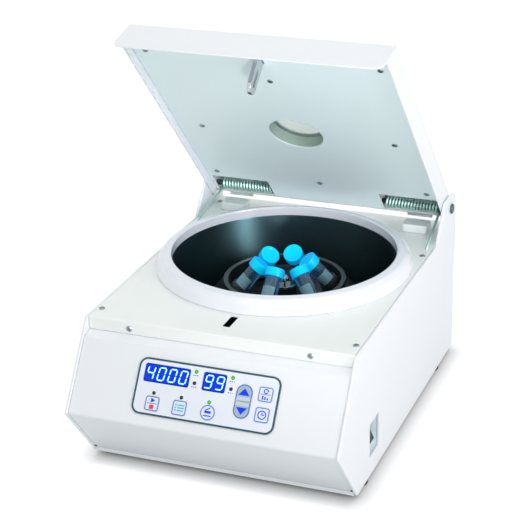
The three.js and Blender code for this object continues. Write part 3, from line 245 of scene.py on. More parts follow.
def centred_box(x, y, width, height, radius=0, steps=ARC_STEPS):
    """A rectangle's outline round its middle."""
    corners = box_corners(x - width / 2, x + width / 2, y - height / 2, y + height / 2, radius)
    return rounded(corners, steps)


def in_metres(points):
    """Points that are written in millimetres, given back in metres."""
    return [tuple(value * MM for value in point) for point in points]


def circle(radius, x=0, y=0, steps=ROD_SIDES):
    return [Vector((x + radius * math.cos(FULL * k / steps), y + radius * math.sin(FULL * k / steps)))
            for k in range(steps)]


def flat(points, low, high):
    """An outline in X and Y, made solid between two heights."""
    return filled([Vector((x, y, low)) for x, y in points], Vector((0, 0, high - low)))


def sideways(points, low, high):
    """An outline in Y and Z, made solid between two places along X."""
    return filled([Vector((low, y, z)) for y, z in points], Vector((high - low, 0, 0)))


def upright(points, low, high):
    """An outline in X and Z, made solid between two places along Y."""
    return filled([Vector((x, low, z)) for x, z in points], Vector((0, high - low, 0)))


def slab(low, high, radius=0):
    """A block between two corners, its upright edges rounded."""
    return flat(rounded(box_corners(low[0], high[0], low[1], high[1], radius)), low[2], high[2])


def rod_along_x(radius, low, high, y, z, sides=ROD_SIDES):
    """A closed round bar along X."""
    bar = turned([(0, low), (radius, low), (radius, high), (0, high)], sides)
    settle(bar, Matrix.Rotation(QUARTER, 4, "Y"))
    return settle(bar, Matrix.Translation((0, y, z)))


def post(radius, low, high, x=0, y=0, sides=ROD_SIDES):
    """A closed upright round bar."""
    bar = turned([(0, low), (radius, low), (radius, high), (0, high)], sides)
    return settle(bar, Matrix.Translation((x, y, 0)))


def wire(points, radius, resolution=2):
    """A round wire with closed ends along a line of points."""
    drawn(points)
    bpy.ops.object.mode_set(mode="OBJECT")
    bpy.ops.object.convert(target="CURVE")
    line = bpy.context.object
    line.data.bevel_depth = radius
    line.data.bevel_resolution = resolution
    line.data.use_fill_caps = True
    bpy.ops.object.convert(target="MESH")
    return settle(bpy.context.object)


def boolean(piece, tools, operation):
    """Joins, cuts or crosses a piece with each tool in turn, and uses the tools up."""
    for tool in tools:
        alone(piece)
        modifier = piece.modifiers.new("shape", "BOOLEAN")
        modifier.operation = operation
        modifier.solver = "EXACT"
        modifier.object = tool
        bpy.ops.object.modifier_apply(modifier=modifier.name)
        bpy.data.objects.remove(tool)
    return piece


def cut(piece, *tools):
    return boolean(piece, tools, "DIFFERENCE")


def fused(piece, *others):
    return boolean(piece, others, "UNION")


def grouped(piece, *others):
    """Joins separate bodies into one object, each keeping its material."""
    bpy.ops.object.select_all(action="DESELECT")
    for other in (piece, *others):
        other.select_set(True)
    bpy.context.view_layer.objects.active = piece
    bpy.ops.object.join()
    return piece


def copied(piece, place):
    """A copy with a mesh of its own, moved by a matrix."""
    alone(piece)
    bpy.ops.object.duplicate(linked=False)
    return settle(bpy.context.object, place)


def framed(piece, margin, least_area):
    """Insets the large flats, so that their shading stays even up to the rounded edges."""
    alone(piece)
    bpy.ops.object.mode_set(mode="EDIT")
    bpy.ops.mesh.select_mode(type="FACE")
    bpy.ops.mesh.select_all(action="DESELECT")
    mesh = bmesh.from_edit_mesh(piece.data)
    for face in mesh.faces:
        face.select_set(face.calc_area() > least_area)
    bmesh.update_edit_mesh(piece.data)
    bpy.ops.mesh.inset(thickness=margin, depth=0)
    bpy.ops.object.mode_set(mode="OBJECT")
    return piece


def eased(piece, width, steps=3, margin=0):
    """Rounds the sharp edges and gives the flats even shading."""
    alone(piece)
    bevel = piece.modifiers.new("edges", "BEVEL")
    bevel.width = width
    bevel.segments = steps
    bevel.limit_method = "ANGLE"
    bevel.angle_limit = EDGE_ANGLE
    bevel.miter_outer = "MITER_ARC"
    bevel.harden_normals = False
    bpy.ops.object.modifier_apply(modifier=bevel.name)
    if margin:
        framed(piece, margin, LARGE_FLAT)
    return shaded(piece)


def shaded(piece, angle=SMOOTH_ANGLE):
    """Smooth shading that keeps the sharp edges."""
    alone(piece)
    bpy.ops.object.shade_smooth_by_angle(angle=angle)
    weights = piece.modifiers.new("normals", "WEIGHTED_NORMAL")
    weights.keep_sharp = True
    weights.weight = NORMAL_WEIGHT
    bpy.ops.object.modifier_apply(modifier=weights.name)
    return piece


def choose_faces(piece, test):
    """Selects the faces, in edit mode, whose middle and normal pass a test."""
    bpy.ops.mesh.select_mode(type="FACE")
    bpy.ops.mesh.select_all(action="DESELECT")
    mesh = bmesh.from_edit_mesh(piece.data)
    for face in mesh.faces:
        face.select_set(test(face.calc_center_median(), face.normal))
    bmesh.update_edit_mesh(piece.data)


def choose_edges(piece, test):
    """Selects the edges, in edit mode, whose two ends both pass a test."""
    bpy.ops.mesh.select_mode(type="EDGE")
    bpy.ops.mesh.select_all(action="DESELECT")
    mesh = bmesh.from_edit_mesh(piece.data)
    for edge in mesh.edges:
        edge.select_set(all(test(corner.co) for corner in edge.verts))
    bmesh.update_edit_mesh(piece.data)


def painted(piece, *looks):
    """Gives a piece its finishes; the first one covers it all."""
    for look in looks:
        piece.data.materials.append(finish[look])
    return piece


def repaint(piece, index, test):
    """Gives the faces that pass a test another of the piece's materials."""
    alone(piece)
    bpy.ops.object.mode_set(mode="EDIT")
    choose_faces(piece, test)
    piece.active_material_index = index
    bpy.ops.object.material_slot_assign()
    bpy.ops.object.mode_set(mode="OBJECT")
    return piece


def hand_over(piece, name, body, nodes=(), place=case_place):
    """Names a finished piece, puts it in its place and ties it to the frame."""
    settle(piece, place)
    piece.name = name
    piece.data.name = name
    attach(piece, body)
    if nodes:
        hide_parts(*nodes)
    return piece


# Shader groups, each built once and used by many finishes

FLOAT = "NodeSocketFloat"
BROAD_SCALE = 16.0
CLOUD_SCALE = 55.0
CLOUD_SHARE = 0.5
SPECK_SHARE = 0.5
NOISE_MIDDLE = 0.5
EDGE_START = 0.51
EDGE_FULL = 0.6
PATCH_GAIN = 1.6
UP_POWER = 2.0


def linked(tree, source, target):
    tree.links.new(source, target)


def new_group(name, inputs, outputs):
    group = bpy.data.node_groups.new(name, "ShaderNodeTree")
    for label, kind, default in inputs:
        socket = group.interface.new_socket(label, in_out="INPUT", socket_type=kind)
        socket.default_value = default
    for label, kind in outputs:
        group.interface.new_socket(label, in_out="OUTPUT", socket_type=kind)
    return group, group.nodes.new("NodeGroupInput"), group.nodes.new("NodeGroupOutput")


def noise(tree, coordinates, scale, detail=3.0, roughness=0.5):
    texture = tree.nodes.new("ShaderNodeTexNoise")
    texture.inputs["Detail"].default_value = detail
    texture.inputs["Roughness"].default_value = roughness
    if isinstance(scale, float):
        texture.inputs["Scale"].default_value = scale
    else:
        linked(tree, scale, texture.inputs["Scale"])
    linked(tree, coordinates, texture.inputs["Vector"])
    return texture.outputs["Fac"]


def maths(tree, operation, first, second=None, third=None, clamp=False):
    node = tree.nodes.new("ShaderNodeMath")
    node.operation = operation
    node.use_clamp = clamp
    for socket, value in zip(node.inputs, (first, second, third)):
        if value is None:
            continue
        if isinstance(value, (int, float)):
            socket.default_value = value
        else:
            linked(tree, value, socket)
    return node.outputs[0]


def blended(tree, factor, first, second, mode="MIX"):
    node = tree.nodes.new("ShaderNodeMix")
    node.data_type = "RGBA"
    node.blend_type = mode
    for socket, value in zip((node.inputs[0], node.inputs[6], node.inputs[7]), (factor, first, second)):
        if isinstance(value, bpy.types.NodeSocket):
            linked(tree, value, socket)
        else:
            socket.default_value = value
    return node.outputs[2]


def own_coordinates(tree):
    return tree.nodes.new("ShaderNodeTexCoord").outputs["Object"]


def grain_group():
    """Fine moulded or sprayed grain, with a slow drift of tone and gloss."""
    tree, given, result = new_group(
        "surface_grain",
        [("Colour", "NodeSocketColor", (0.8, 0.8, 0.8, 1)), ("Tone", FLOAT, 0.02),
         ("Size", FLOAT, 900.0), ("Roughness", FLOAT, 0.4),
         ("Spread", FLOAT, 0.05)],
        [("Colour", "NodeSocketColor"), ("Roughness", FLOAT), ("Height", FLOAT)])
    place = own_coordinates(tree)
    broad = noise(tree, place, BROAD_SCALE, 2.0)
    cloud = noise(tree, place, CLOUD_SCALE, 4.0)
    fine = noise(tree, place, given.outputs["Size"], 2.0)
    both = maths(tree, "ADD", broad, maths(tree, "MULTIPLY", cloud, CLOUD_SHARE))
    drift = maths(tree, "SUBTRACT", both, NOISE_MIDDLE * (1 + CLOUD_SHARE))
    tone = maths(tree, "MULTIPLY_ADD", drift, given.outputs["Tone"], 1.0)
    speck = maths(tree, "MULTIPLY_ADD", maths(tree, "SUBTRACT", fine, NOISE_MIDDLE),
                  maths(tree, "MULTIPLY", given.outputs["Tone"], SPECK_SHARE), tone)
    tint = tree.nodes.new("ShaderNodeCombineColor")
    for socket in tint.inputs:
        linked(tree, speck, socket)
    tinted = blended(tree, 1.0, given.outputs["Colour"], tint.outputs[0], "MULTIPLY")
    linked(tree, tinted, result.inputs["Colour"])
    gloss = maths(tree, "MULTIPLY_ADD", maths(tree, "SUBTRACT", cloud, NOISE_MIDDLE), given.outputs["Spread"],
                  given.outputs["Roughness"])
    linked(tree, gloss, result.inputs["Roughness"])
    linked(tree, fine, result.inputs["Height"])
    return tree


def wear_group():
    """Where edges stand out and hands or tools rub them."""
    tree, given, result = new_group(
        "edge_wear",
        [("Amount", FLOAT, 0.3), ("Size", FLOAT, 300.0)],
        [("Mask", FLOAT)])
    edge = tree.nodes.new("ShaderNodeNewGeometry").outputs["Pointiness"]
    sharp = tree.nodes.new("ShaderNodeMapRange")
    sharp.inputs["From Min"].default_value = EDGE_START
    sharp.inputs["From Max"].default_value = EDGE_FULL
    linked(tree, edge, sharp.inputs["Value"])
    patch = noise(tree, own_coordinates(tree), given.outputs["Size"], 4.0, 0.6)
    worn = maths(tree, "MULTIPLY", patch, PATCH_GAIN)
    broken = maths(tree, "MULTIPLY", sharp.outputs[0], worn, clamp=True)
    linked(tree, maths(tree, "MULTIPLY", broken, given.outputs["Amount"]), result.inputs["Mask"])
    return tree


def dust_group():
    """Fine dust that lies on what faces up."""
    tree, given, result = new_group(
        "settled_dust",
        [("Amount", FLOAT, 0.1), ("Size", FLOAT, 120.0)],
        [("Mask", FLOAT)])
    split = tree.nodes.new("ShaderNodeSeparateXYZ")
    linked(tree, tree.nodes.new("ShaderNodeNewGeometry").outputs["Normal"], split.inputs[0])
    up = maths(tree, "POWER", maths(tree, "MAXIMUM", split.outputs["Z"], 0.0), UP_POWER)
    cloud = noise(tree, own_coordinates(tree), given.outputs["Size"], 5.0, 0.65)
    lying = maths(tree, "MULTIPLY", up, cloud)
    linked(tree, maths(tree, "MULTIPLY", lying, given.outputs["Amount"]), result.inputs["Mask"])
    return tree


def line_group():
    """Fine drawn or turned lines along one direction of bare metal."""
    tree, given, result = new_group(
        "drawn_lines",
        [("Stretch", "NodeSocketVector", (60, 2500, 2500)), ("Roughness", FLOAT, 0.3),
         ("Spread", FLOAT, 0.2)],
        [("Roughness", FLOAT), ("Height", FLOAT)])
    scaled = tree.nodes.new("ShaderNodeVectorMath")
    scaled.operation = "MULTIPLY"
    linked(tree, own_coordinates(tree), scaled.inputs[0])
    linked(tree, given.outputs["Stretch"], scaled.inputs[1])
    lines = noise(tree, scaled.outputs[0], 1.0, 3.0, 0.6)
    gloss = maths(tree, "MULTIPLY_ADD", maths(tree, "SUBTRACT", lines, NOISE_MIDDLE), given.outputs["Spread"],
                  given.outputs["Roughness"])
    linked(tree, gloss, result.inputs["Roughness"])
    linked(tree, lines, result.inputs["Height"])
    return tree


groups = {}


def placed_group(tree, name, **values):
    node = tree.nodes.new("ShaderNodeGroup")
    node.node_tree = groups[name]
    for label, value in values.items():
        node.inputs[label].default_value = value
    return node


# Finishes

def shade(code):
    """A linear colour from a display colour written in hexadecimal."""
    parts = [(code >> shift & 255) / 255 for shift in (16, 8, 0)]
    linear = [part / 12.92 if part <= 0.04045 else ((part + 0.055) / 1.055) ** 2.4 for part in parts]
    return (*linear, 1)


def opaque(colour):
    """A chosen colour with its full alpha."""
    return (*colour, 1)


DUST = shade(0xC9C6C0)
BARE_EDGE = (0.5, 0.5, 0.5, 1)
finish = {}


def new_material(name, **constants):
    """A material with its nodes, kept by its name among the finishes."""
    material = bpy.data.materials.new(name)
    material.use_nodes = True
    shader = material.node_tree.nodes["Principled BSDF"]
    for label, value in constants.items():
        shader.inputs[label.replace("_", " ")].default_value = value
    finish[name] = material
    return material.node_tree, shader


def bumped(tree, shader, height, strength, distance):
    bump = tree.nodes.new("ShaderNodeBump")
    bump.inputs["Strength"].default_value = strength
    bump.inputs["Distance"].default_value = distance
    linked(tree, height, bump.inputs["Height"])
    linked(tree, bump.outputs["Normal"], shader.inputs["Normal"])


def surfaced(tree, shader, grain):
    """Ties a grain's colour and gloss to the shader."""
    linked(tree, grain.outputs["Colour"], shader.inputs["Base Color"])
    linked(tree, grain.outputs["Roughness"], shader.inputs["Roughness"])


def grained(name, colour, roughness=0.4, tone=0.03, size=900.0, spread=0.08, depth=0.02 * MM, strength=0.3,
            dust=0.0, wear=0.0, wear_colour=BARE_EDGE, **constants):
    """Paint, plastic or rubber: grain, drift of tone and gloss, dust on top and rubbed edges."""
    tree, shader = new_material(name, **constants)
    grain = placed_group(tree, "surface_grain", Colour=colour, Tone=tone, Size=size, Roughness=roughness,
                         Spread=spread)
    surface = grain.outputs["Colour"]
    if wear:
        rubbed = placed_group(tree, "edge_wear", Amount=wear)
        surface = blended(tree, rubbed.outputs["Mask"], surface, wear_colour)
    if dust:
        film = placed_group(tree, "settled_dust", Amount=dust)
        surface = blended(tree, film.outputs["Mask"], surface, DUST)
    linked(tree, surface, shader.inputs["Base Color"])
    linked(tree, grain.outputs["Roughness"], shader.inputs["Roughness"])
    bumped(tree, shader, grain.outputs["Height"], strength, depth)


def metal(name, colour, roughness, stretch, spread, tone, depth=0.01 * MM):
    """Bare or plated metal with its drawn or turned lines."""
    tree, shader = new_material(name, Metallic=1.0)
    grain = placed_group(tree, "surface_grain", Colour=colour, Tone=tone, Size=400.0)
    lines = placed_group(tree, "drawn_lines", Stretch=stretch, Roughness=roughness, Spread=spread)
    linked(tree, grain.outputs["Colour"], shader.inputs["Base Color"])
    linked(tree, lines.outputs["Roughness"], shader.inputs["Roughness"])
    bumped(tree, shader, lines.outputs["Height"], 0.25, depth)


def clear(name, colour, roughness, transmission, ior, tone=0.05):
    """Clear or milky plastic and glass."""
    tree, shader = new_material(name, IOR=ior, Transmission_Weight=transmission)
    grain = placed_group(tree, "surface_grain", Colour=colour, Tone=tone, Size=250.0, Roughness=roughness,
                         Spread=0.05)
    surfaced(tree, shader, grain)
    bumped(tree, shader, grain.outputs["Height"], 0.1, 0.01 * MM)


def lit(name, colour, glow, strength):
    """A surface that gives off light of its own."""
    tree, shader = new_material(name, Roughness=0.35, Specular_IOR_Level=0.05, Emission_Strength=strength)
    body = placed_group(tree, "surface_grain", Colour=colour, Tone=0.06, Size=700.0)
    light = placed_group(tree, "surface_grain", Colour=glow, Tone=0.06, Size=700.0)
    linked(tree, body.outputs["Colour"], shader.inputs["Base Color"])
    linked(tree, light.outputs["Colour"], shader.inputs["Emission Color"])


def spun_metal(name, colour):
    """Satin blackened metal whose turned lines spread each highlight up and down."""
    tree, shader = new_material(name, Metallic=1.0, Anisotropic=0.75, Anisotropic_Rotation=0.25)
    grain = placed_group(tree, "surface_grain", Colour=colour, Tone=0.1, Size=60.0, Roughness=0.35,
                         Spread=0.04)
    surfaced(tree, shader, grain)
    around = tree.nodes.new("ShaderNodeTangent")
    around.direction_type = "RADIAL"
    around.axis = "Z"
    linked(tree, around.outputs[0], shader.inputs["Tangent"])


def cap_plastic_painted_light(face, slant_shade):
    """Saturated plastic with painted light: painted shade that turns it deeper blue where it is seen at a slant,
    and a painted glow of its own colour.
    """
    # Painted glow: the caps give off light of their own colour, though they are no lamp
    tree, shader = new_material("cap_blue", Specular_IOR_Level=0.12, Emission_Strength=0.3)
    # Painted shade: the sides seen at a slant are mixed towards the deeper shade colour
    slant = tree.nodes.new("ShaderNodeLayerWeight")
    slant.inputs["Blend"].default_value = 0.35
    tone = blended(tree, slant.outputs["Facing"], face, slant_shade)
    grain = placed_group(tree, "surface_grain", Tone=0.04, Size=800.0, Roughness=0.34, Spread=0.06)
    linked(tree, tone, grain.inputs["Colour"])
    linked(tree, grain.outputs["Colour"], shader.inputs["Base Color"])
    linked(tree, grain.outputs["Colour"], shader.inputs["Emission Color"])
    linked(tree, grain.outputs["Roughness"], shader.inputs["Roughness"])
    bumped(tree, shader, grain.outputs["Height"], 0.15, 0.01 * MM)


def build_finishes(case, controls, bowl):
    groups.update({"surface_grain": grain_group(), "edge_wear": wear_group(),
                   "settled_dust": dust_group(), "drawn_lines": line_group()})
    ink = {"roughness": 0.4, "tone": 0.06, "size": 1500.0}
    key_face = {"roughness": 0.4, "tone": 0.05, "size": 1400.0}
    display_glow = opaque(controls.display_colour)
    grained("panel_paint", opaque(case.panel_colour), 0.38, tone=0.02, size=1100.0, depth=0.03 * MM,
            dust=0.03)
    grained("deck_paint", opaque(case.deck_colour), 0.36, tone=0.02, size=1100.0, depth=0.03 * MM,
            dust=0.04)
    grained("liner_plastic", opaque(case.liner_colour), 0.42, tone=0.02, size=1500.0)
    # Painted shade: the window collar is darker and greener than the liner, standing in for the shade inside the
    # window's recess
    grained("collar_painted_shade", shade(0x9CB0A6), 0.45, tone=0.05, size=1500.0)
    grained("ring_plastic", opaque(bowl.ring_colour), 0.17, tone=0.015, size=500.0, spread=0.05,
            depth=0.01 * MM, strength=0.15, Coat_Weight=0.4, Coat_Roughness=0.08)
    grained("white_plastic", shade(0xF4F8FA), 0.3)
    # Painted light: the switch pocket's plastic glows faintly, to lift the shade inside the pocket
    grained("pocket_painted_glow", shade(0xE2EEF2), 0.3, Emission_Color=shade(0xD8E6EA),
            Emission_Strength=0.16)
    spun_metal("bowl_black", opaque(bowl.bowl_colour))
    grained("rotor_black", shade(0x161D1F), 0.36, tone=0.2, size=700.0, spread=0.12, dust=0.02, wear=0.4,
            wear_colour=shade(0x4A5557))
    grained("rim_grey", shade(0x26343A), tone=0.1, size=1400.0, spread=0.1)
    metal("chrome", shade(0xA0A8AC), 0.1, (300, 300, 300), 0.05, 0.03, 0.004 * MM)
    metal("zinc", shade(0xC6CACD), 0.3, (80, 2200, 2200), 0.2, 0.15)
    # Pale zinc for the springs; its greenish-teal tint is partly painted reflection of the surroundings
    metal("spring_wire", shade(0xB8D8D0), 0.5, (1500, 500, 500), 0.08, 0.05)
    # Dark steel for the hinge rod: its heads are dark, and the dark shaft is also painted shade in the gaps
    # between the spring's coils
    metal("rod_steel_coil_shade", shade(0x56646A), 0.34, (80, 1800, 1800), 0.15, 0.1)
    metal("screw_steel", shade(0x98A2A4), 0.3, (900, 900, 900), 0.2, 0.1)
    metal("dark_screw", shade(0x2C2E33), 0.4, (900, 900, 900), 0.2, 0.1)
    metal("aluminium", shade(0xB4B7BA), 0.42, (60, 1500, 1500), 0.2, 0.1)
    grained("motor_paint", shade(0x2B2D31), 0.45, tone=0.1, dust=0.2, wear=0.4)
    grained("rubber", shade(0x14171E), 0.78, tone=0.2, size=1600.0, depth=0.05 * MM, strength=0.5,
            dust=0.1)
    # The caps' finish, with its painted shade on the sides and its painted glow
    cap_plastic_painted_light(opaque(bowl.cap_colour), opaque(bowl.cap_slant_shade))
    clear("tube_clear", shade(0x8FC0DC), roughness=0.16, transmission=0.9, ior=1.45)
    grained("patch_white", shade(0x7FAABB), 0.6, tone=0.12, size=1200.0)
    grained("tube_ink", shade(0x1E3146), 0.6, tone=0.15, size=1500.0)
    clear("window_clear", shade(0xD4DEDB), roughness=0.05, transmission=0.95, ior=1.49, tone=0.03)
    grained("film", opaque(controls.film_colour), 0.32, tone=0.012, size=1400.0, depth=0.01 * MM)
    grained("film_edge", opaque(controls.edge_colour), tone=0.08, size=1500.0)
    grained("key_film", shade(0xE4EBF8), 0.36, tone=0.02, size=1400.0)
    grained("pad_film", shade(0xA9B9C8), **key_face)
    grained("pad_light", shade(0xC6D2DE), **key_face)
    grained("ink_blue", opaque(controls.ink_colour), Specular_IOR_Level=0.15, **ink)
    grained("ink_pale", shade(0x1466D2), Specular_IOR_Level=0.15, **ink)
    grained("ink_red", shade(0xE8404E), **ink)
    grained("ink_cyan", shade(0x2CC3DC), **ink)
    lit("display_blue", shade(0x020A50), display_glow, 0.9)
    lit("display_edge", shade(0x020840), display_glow, 0.34)
    lit("segment_halo", shade(0x1F7CF0), shade(0x2C9CFF), 0.7)
    lit("segment_lit", shade(0xBFF4FF), shade(0xDCFFFF), 0.95)
    grained("segment_dark", shade(0x0A25A0), 0.3, tone=0.1)
    lit("lamp_green", shade(0x2E9A1A), shade(0x55E02A), 0.6)
    grained("lamp_dark", shade(0x0F1620), 0.2, tone=0.2)
    # Painted light: a lit lamp's rim is tinted green, standing in for the lamp's light falling on it; unlit lamps
    # keep the dark rim
    grained("lamp_rim_painted_glow", shade(0x16301C), 0.3, tone=0.2)
    grained("board_green", shade(0x1D6B3A), 0.5, tone=0.2, size=300.0, dust=0.15)
    grained("black_plastic", shade(0x14161B), 0.35, tone=0.2, size=1100.0, wear=0.4,
            wear_colour=shade(0x4A4E55))
    grained("legend_white", shade(0xD8DCE0), 0.5, tone=0.05, size=1200.0)


# Case

rod_radius = 3.1 * MM
ear_top_z = reach("side_panel_right")[1].z
ear_rear_y = reach("side_panel_right")[1].y
ear_front_y = case_rear_y - 73.2 * MM
ear_slope_run = 32.1 * MM
ear_step_drop = 31 * MM
ear_step_height = 2 * MM
side_edge_steps = 4


# The roundings of the outline's corners, in millimetres, in the outline's order
side_corners = (4, 5, 0, 0, 16, 5, 12, 3, 2.5)


def side_outline():
    step_z = deck_z - ear_step_drop
    places = [(base_front_y, 0), (case_rear_y, 0), (case_rear_y, step_z - ear_step_height),
              (ear_rear_y, step_z), (ear_rear_y, ear_top_z), (ear_front_y + ear_slope_run, ear_top_z),
              (ear_front_y, deck_z), (deck_front_y, deck_z), (bend_y, bend_z)]
    return rounded([(y, z, corner * MM) for (y, z), corner in zip(places, side_corners)])


pocket_y = base_front_y + 53.5 * MM
pocket_z = 38.5 * MM
pocket_width = 29.5 * MM
pocket_height = 36.5 * MM
pocket_depth = 13 * MM
pocket_wall = 2 * MM
pocket_corner = 1.5 * MM


def pocket_outline(margin=0):
    return centred_box(pocket_y, pocket_z, pocket_width + 2 * margin, pocket_height + 2 * margin,
                       pocket_corner + margin)


def side_panel(side, edge_radius):
    low, high = sorted((side * inner_half_width, side * half_width))
    panel = sideways(side_outline(), low, high)
    tools = [rod_along_x(rod_radius + gap, low - sheet, high + sheet, hinge_point.y, hinge_point.z)]
    if side > 0:
        tools.append(sideways(pocket_outline(), low - sheet, high + sheet))
    return painted(eased(cut(panel, *tools), edge_radius, side_edge_steps), "panel_paint")


ledge_start = 78 * MM
ledge_corner = 2 * MM
upstand_corner = 1.2 * MM
bend_corner = 3 * MM
hem_corner = 2 * MM
hem_length = 20 * MM
tray_top_z = reach("base_tray")[1].z
flange_low_z = deck_z - 13.1 * MM
bend = Vector((bend_y, bend_z))
down = Vector((base_front_y - bend_y, -bend_z)).normalized()
lower_in = Vector((-down.y, down.x))
upper_in = Vector((slope.y, -slope.x))
mitre = (lower_in + upper_in).normalized()
face_bend = bend + mitre * proud / mitre.dot(upper_in)
lip_top_z = 5 * MM
lip_low_z = 0.4 * MM
lip_corner = 1 * MM
lip_foot = 2.2 * MM
lip_sheet = 0.9 * MM
lip_arc_steps = 5


def lower_face(height):
    """The place, in Y and Z, where the lower face's outside passes a height."""
    return face_bend + down * ((height - face_bend.y) / down.y)


def front_path():
    """The front panel's outer face, from the upstand behind the deck's flange down to the hem."""
    foot = lower_face(lip_top_z + gap)
    ledge = bend + slope * ledge_start + upper_in * proud
    upstand_y = deck_flange_y + sheet + gap
    return rounded([
        (upstand_y, deck_z - sheet - gap),
        (upstand_y, flange_low_z - gap, upstand_corner),
        (ledge.x, ledge.y, ledge_corner),
        (face_bend.x, face_bend.y, bend_corner),
        (foot.x, foot.y, hem_corner),
        (foot.x + hem_length, foot.y),
    ])


def front_lip(edge_radius):
    """The upright strip below the lower face, turned under at its foot."""
    front = lower_face(lip_top_z).x
    path = rounded([(front, lip_top_z), (front, lip_low_z, lip_corner), (front + lip_foot, lip_low_z)],
                   lip_arc_steps)
    lip = sideways(sheet_outline(path, lip_sheet), -sheet_half_width, sheet_half_width)
    return painted(eased(lip, edge_radius / 2, 2), "panel_paint")


def on_face(points, low, high):
    """An outline on the sloped face, made solid there and given back in the case's own places."""
    return settle(flat(points, low, high), case_place.inverted() @ face_place)


display_s = 53.2 * MM
display_height = 18 * MM
displays = {"display_speed": (-42.5 * MM, 47 * MM, "4000"), "display_time": (6.3 * MM, 23.8 * MM, "99")}
display_corner = 2.2 * MM


def display_outline(node, margin=0):
    x, width, _ = displays[node]
    return centred_box(x, display_s, width + 2 * margin, display_height + 2 * margin, display_corner)


def front_panel(edge_radius):
    panel = sideways(sheet_outline(front_path(), sheet), -sheet_half_width, sheet_half_width)
    holes = [on_face(display_outline(node), -3 * sheet, sheet) for node in displays]
    return painted(eased(cut(panel, *holes), edge_radius), "panel_paint")


deck_bend_corner = 1.8 * MM
deck_slot_rear_y = -ring_radius - 4.4 * MM
deck_slot_length = 24.9 * MM
deck_slot_width = 8 * MM
deck_slot_corner = 1 * MM
bowl_outer_radius = 118.9 * MM
leg_x = inner_half_width - 5.5 * MM
leg_y = hinge_point.y - 65.8 * MM
leg_hole_radius = 2.2 * MM
flange_screw_x = 93.3 * MM
flange_screw_z = 142 * MM
corner_screw_x = 135.7 * MM
corner_screw_z = 7.6 * MM

# How far back, and how far in from the side panels, the deck's pairs of screws stand, in millimetres
deck_screw_rows = ((-163.2, 5.3), (61, 5), (143, 6))
deck_screws = [(side * (inner_half_width - inset), y) for y, inset in in_metres(deck_screw_rows)
               for side in (-1, 1)]


def top_cover(edge_radius):
    path = rounded([(deck_rear_y, deck_z), (deck_flange_y, deck_z, deck_bend_corner),
                    (deck_flange_y, flange_low_z)])
    cover = sideways(sheet_outline(path, sheet), -sheet_half_width, sheet_half_width)
    over = deck_z + sheet
    under = deck_z - 3 * sheet
    slot = slab((-deck_slot_width / 2, deck_slot_rear_y - deck_slot_length, under),
                (deck_slot_width / 2, deck_slot_rear_y, over), deck_slot_corner)
    holes = [post(bowl_outer_radius + gap, under, over, sides=DECK_HOLE_SIDES), slot]
    holes += [post(leg_hole_radius, under, over, x, leg_y, PIN_SIDES) for x in (-leg_x, leg_x)]
    return painted(eased(cut(cover, *holes), edge_radius), "deck_paint")


vent_count = 12
vent_pitch = 9 * MM
vent_width = 4 * MM
vent_height = 40 * MM
vent_corner = 1.96 * MM
vent_x = 40 * MM
vent_z = 78 * MM
inlet_x = 46.7 * MM - sheet_half_width
inlet_z = 36 * MM
inlet_body = Vector((27.5, 20, 20)) * MM
inlet_flange = Vector((50, 2, 23)) * MM
inlet_recess = Vector((24, 16, 16.5)) * MM
inlet_chamfer = 5 * MM
inlet_corner = 1 * MM
inlet_flange_corner = 2 * MM
inlet_edge = 0.4 * MM
pin_width = 2 * MM
pin_height = 4 * MM
pin_corner = 0.3 * MM
pin_root = 0.2 * MM
pin_set_back = 4 * MM

# The three pins of the inlet, across and up from its middle, in millimetres
pin_spots = ((-7, -2), (7, -2), (0, 3))


def rear_panel(edge_radius):
    front_y = deck_rear_y - sheet
    corners = box_corners(-sheet_half_width, sheet_half_width, tray_top_z + gap, deck_z - sheet - gap)
    panel = upright(rounded(corners), front_y, deck_rear_y)
    outlines = [centred_box(vent_x + (i - (vent_count - 1) / 2) * vent_pitch, vent_z, vent_width, vent_height,
                            vent_corner, SMALL_STEPS) for i in range(vent_count)]
    outlines.append(centred_box(inlet_x, inlet_z, inlet_body.x + 2 * gap, inlet_body.z + 2 * gap))
    tools = [upright(hole, front_y - sheet, deck_rear_y + sheet) for hole in outlines]
    return painted(eased(cut(panel, *tools), edge_radius, 2), "panel_paint")


def power_inlet():
    face_y = reach("power_inlet")[1].y
    body = fused(
        upright(centred_box(inlet_x, inlet_z, inlet_body.x, inlet_body.z, inlet_corner),
                face_y - inlet_body.y, face_y),
        upright(centred_box(inlet_x, inlet_z, inlet_flange.x, inlet_flange.z, inlet_flange_corner),
                face_y - inlet_flange.y, face_y))
    half_x, half_z = inlet_recess.x / 2, inlet_recess.z / 2
    chamfer_x, chamfer_z = half_x - inlet_chamfer, half_z - inlet_chamfer
    corners = ((-half_x, -half_z), (half_x, -half_z), (half_x, chamfer_z), (chamfer_x, half_z),
               (-chamfer_x, half_z), (-half_x, chamfer_z))
    outline = rounded([(inlet_x + x, inlet_z + z, inlet_corner) for x, z in corners], SMALL_STEPS)
    recess = upright(outline, face_y - inlet_recess.y, face_y + sheet)
    body = painted(eased(cut(body, recess), inlet_edge, 2), "black_plastic")
    pins = []
    for x, z in in_metres(pin_spots):
        outline = centred_box(inlet_x + x, inlet_z + z, pin_width, pin_height, pin_corner, 3)
        pin = upright(outline, face_y - inlet_recess.y - pin_root, face_y - pin_set_back)
        pins.append(painted(eased(pin, pin_corner, 2), "zinc"))
    return grouped(body, *pins)


foot_shift = 3.4 * MM
foot_low_inset = 0.3 * MM
foot_low_corner = 1 * MM
foot_high_inset = 1 * MM
foot_high_corner = 0.6 * MM
foot_groove_depth = 1.1 * MM
foot_groove_low = 1.8 * MM
foot_groove_high = 2.4 * MM


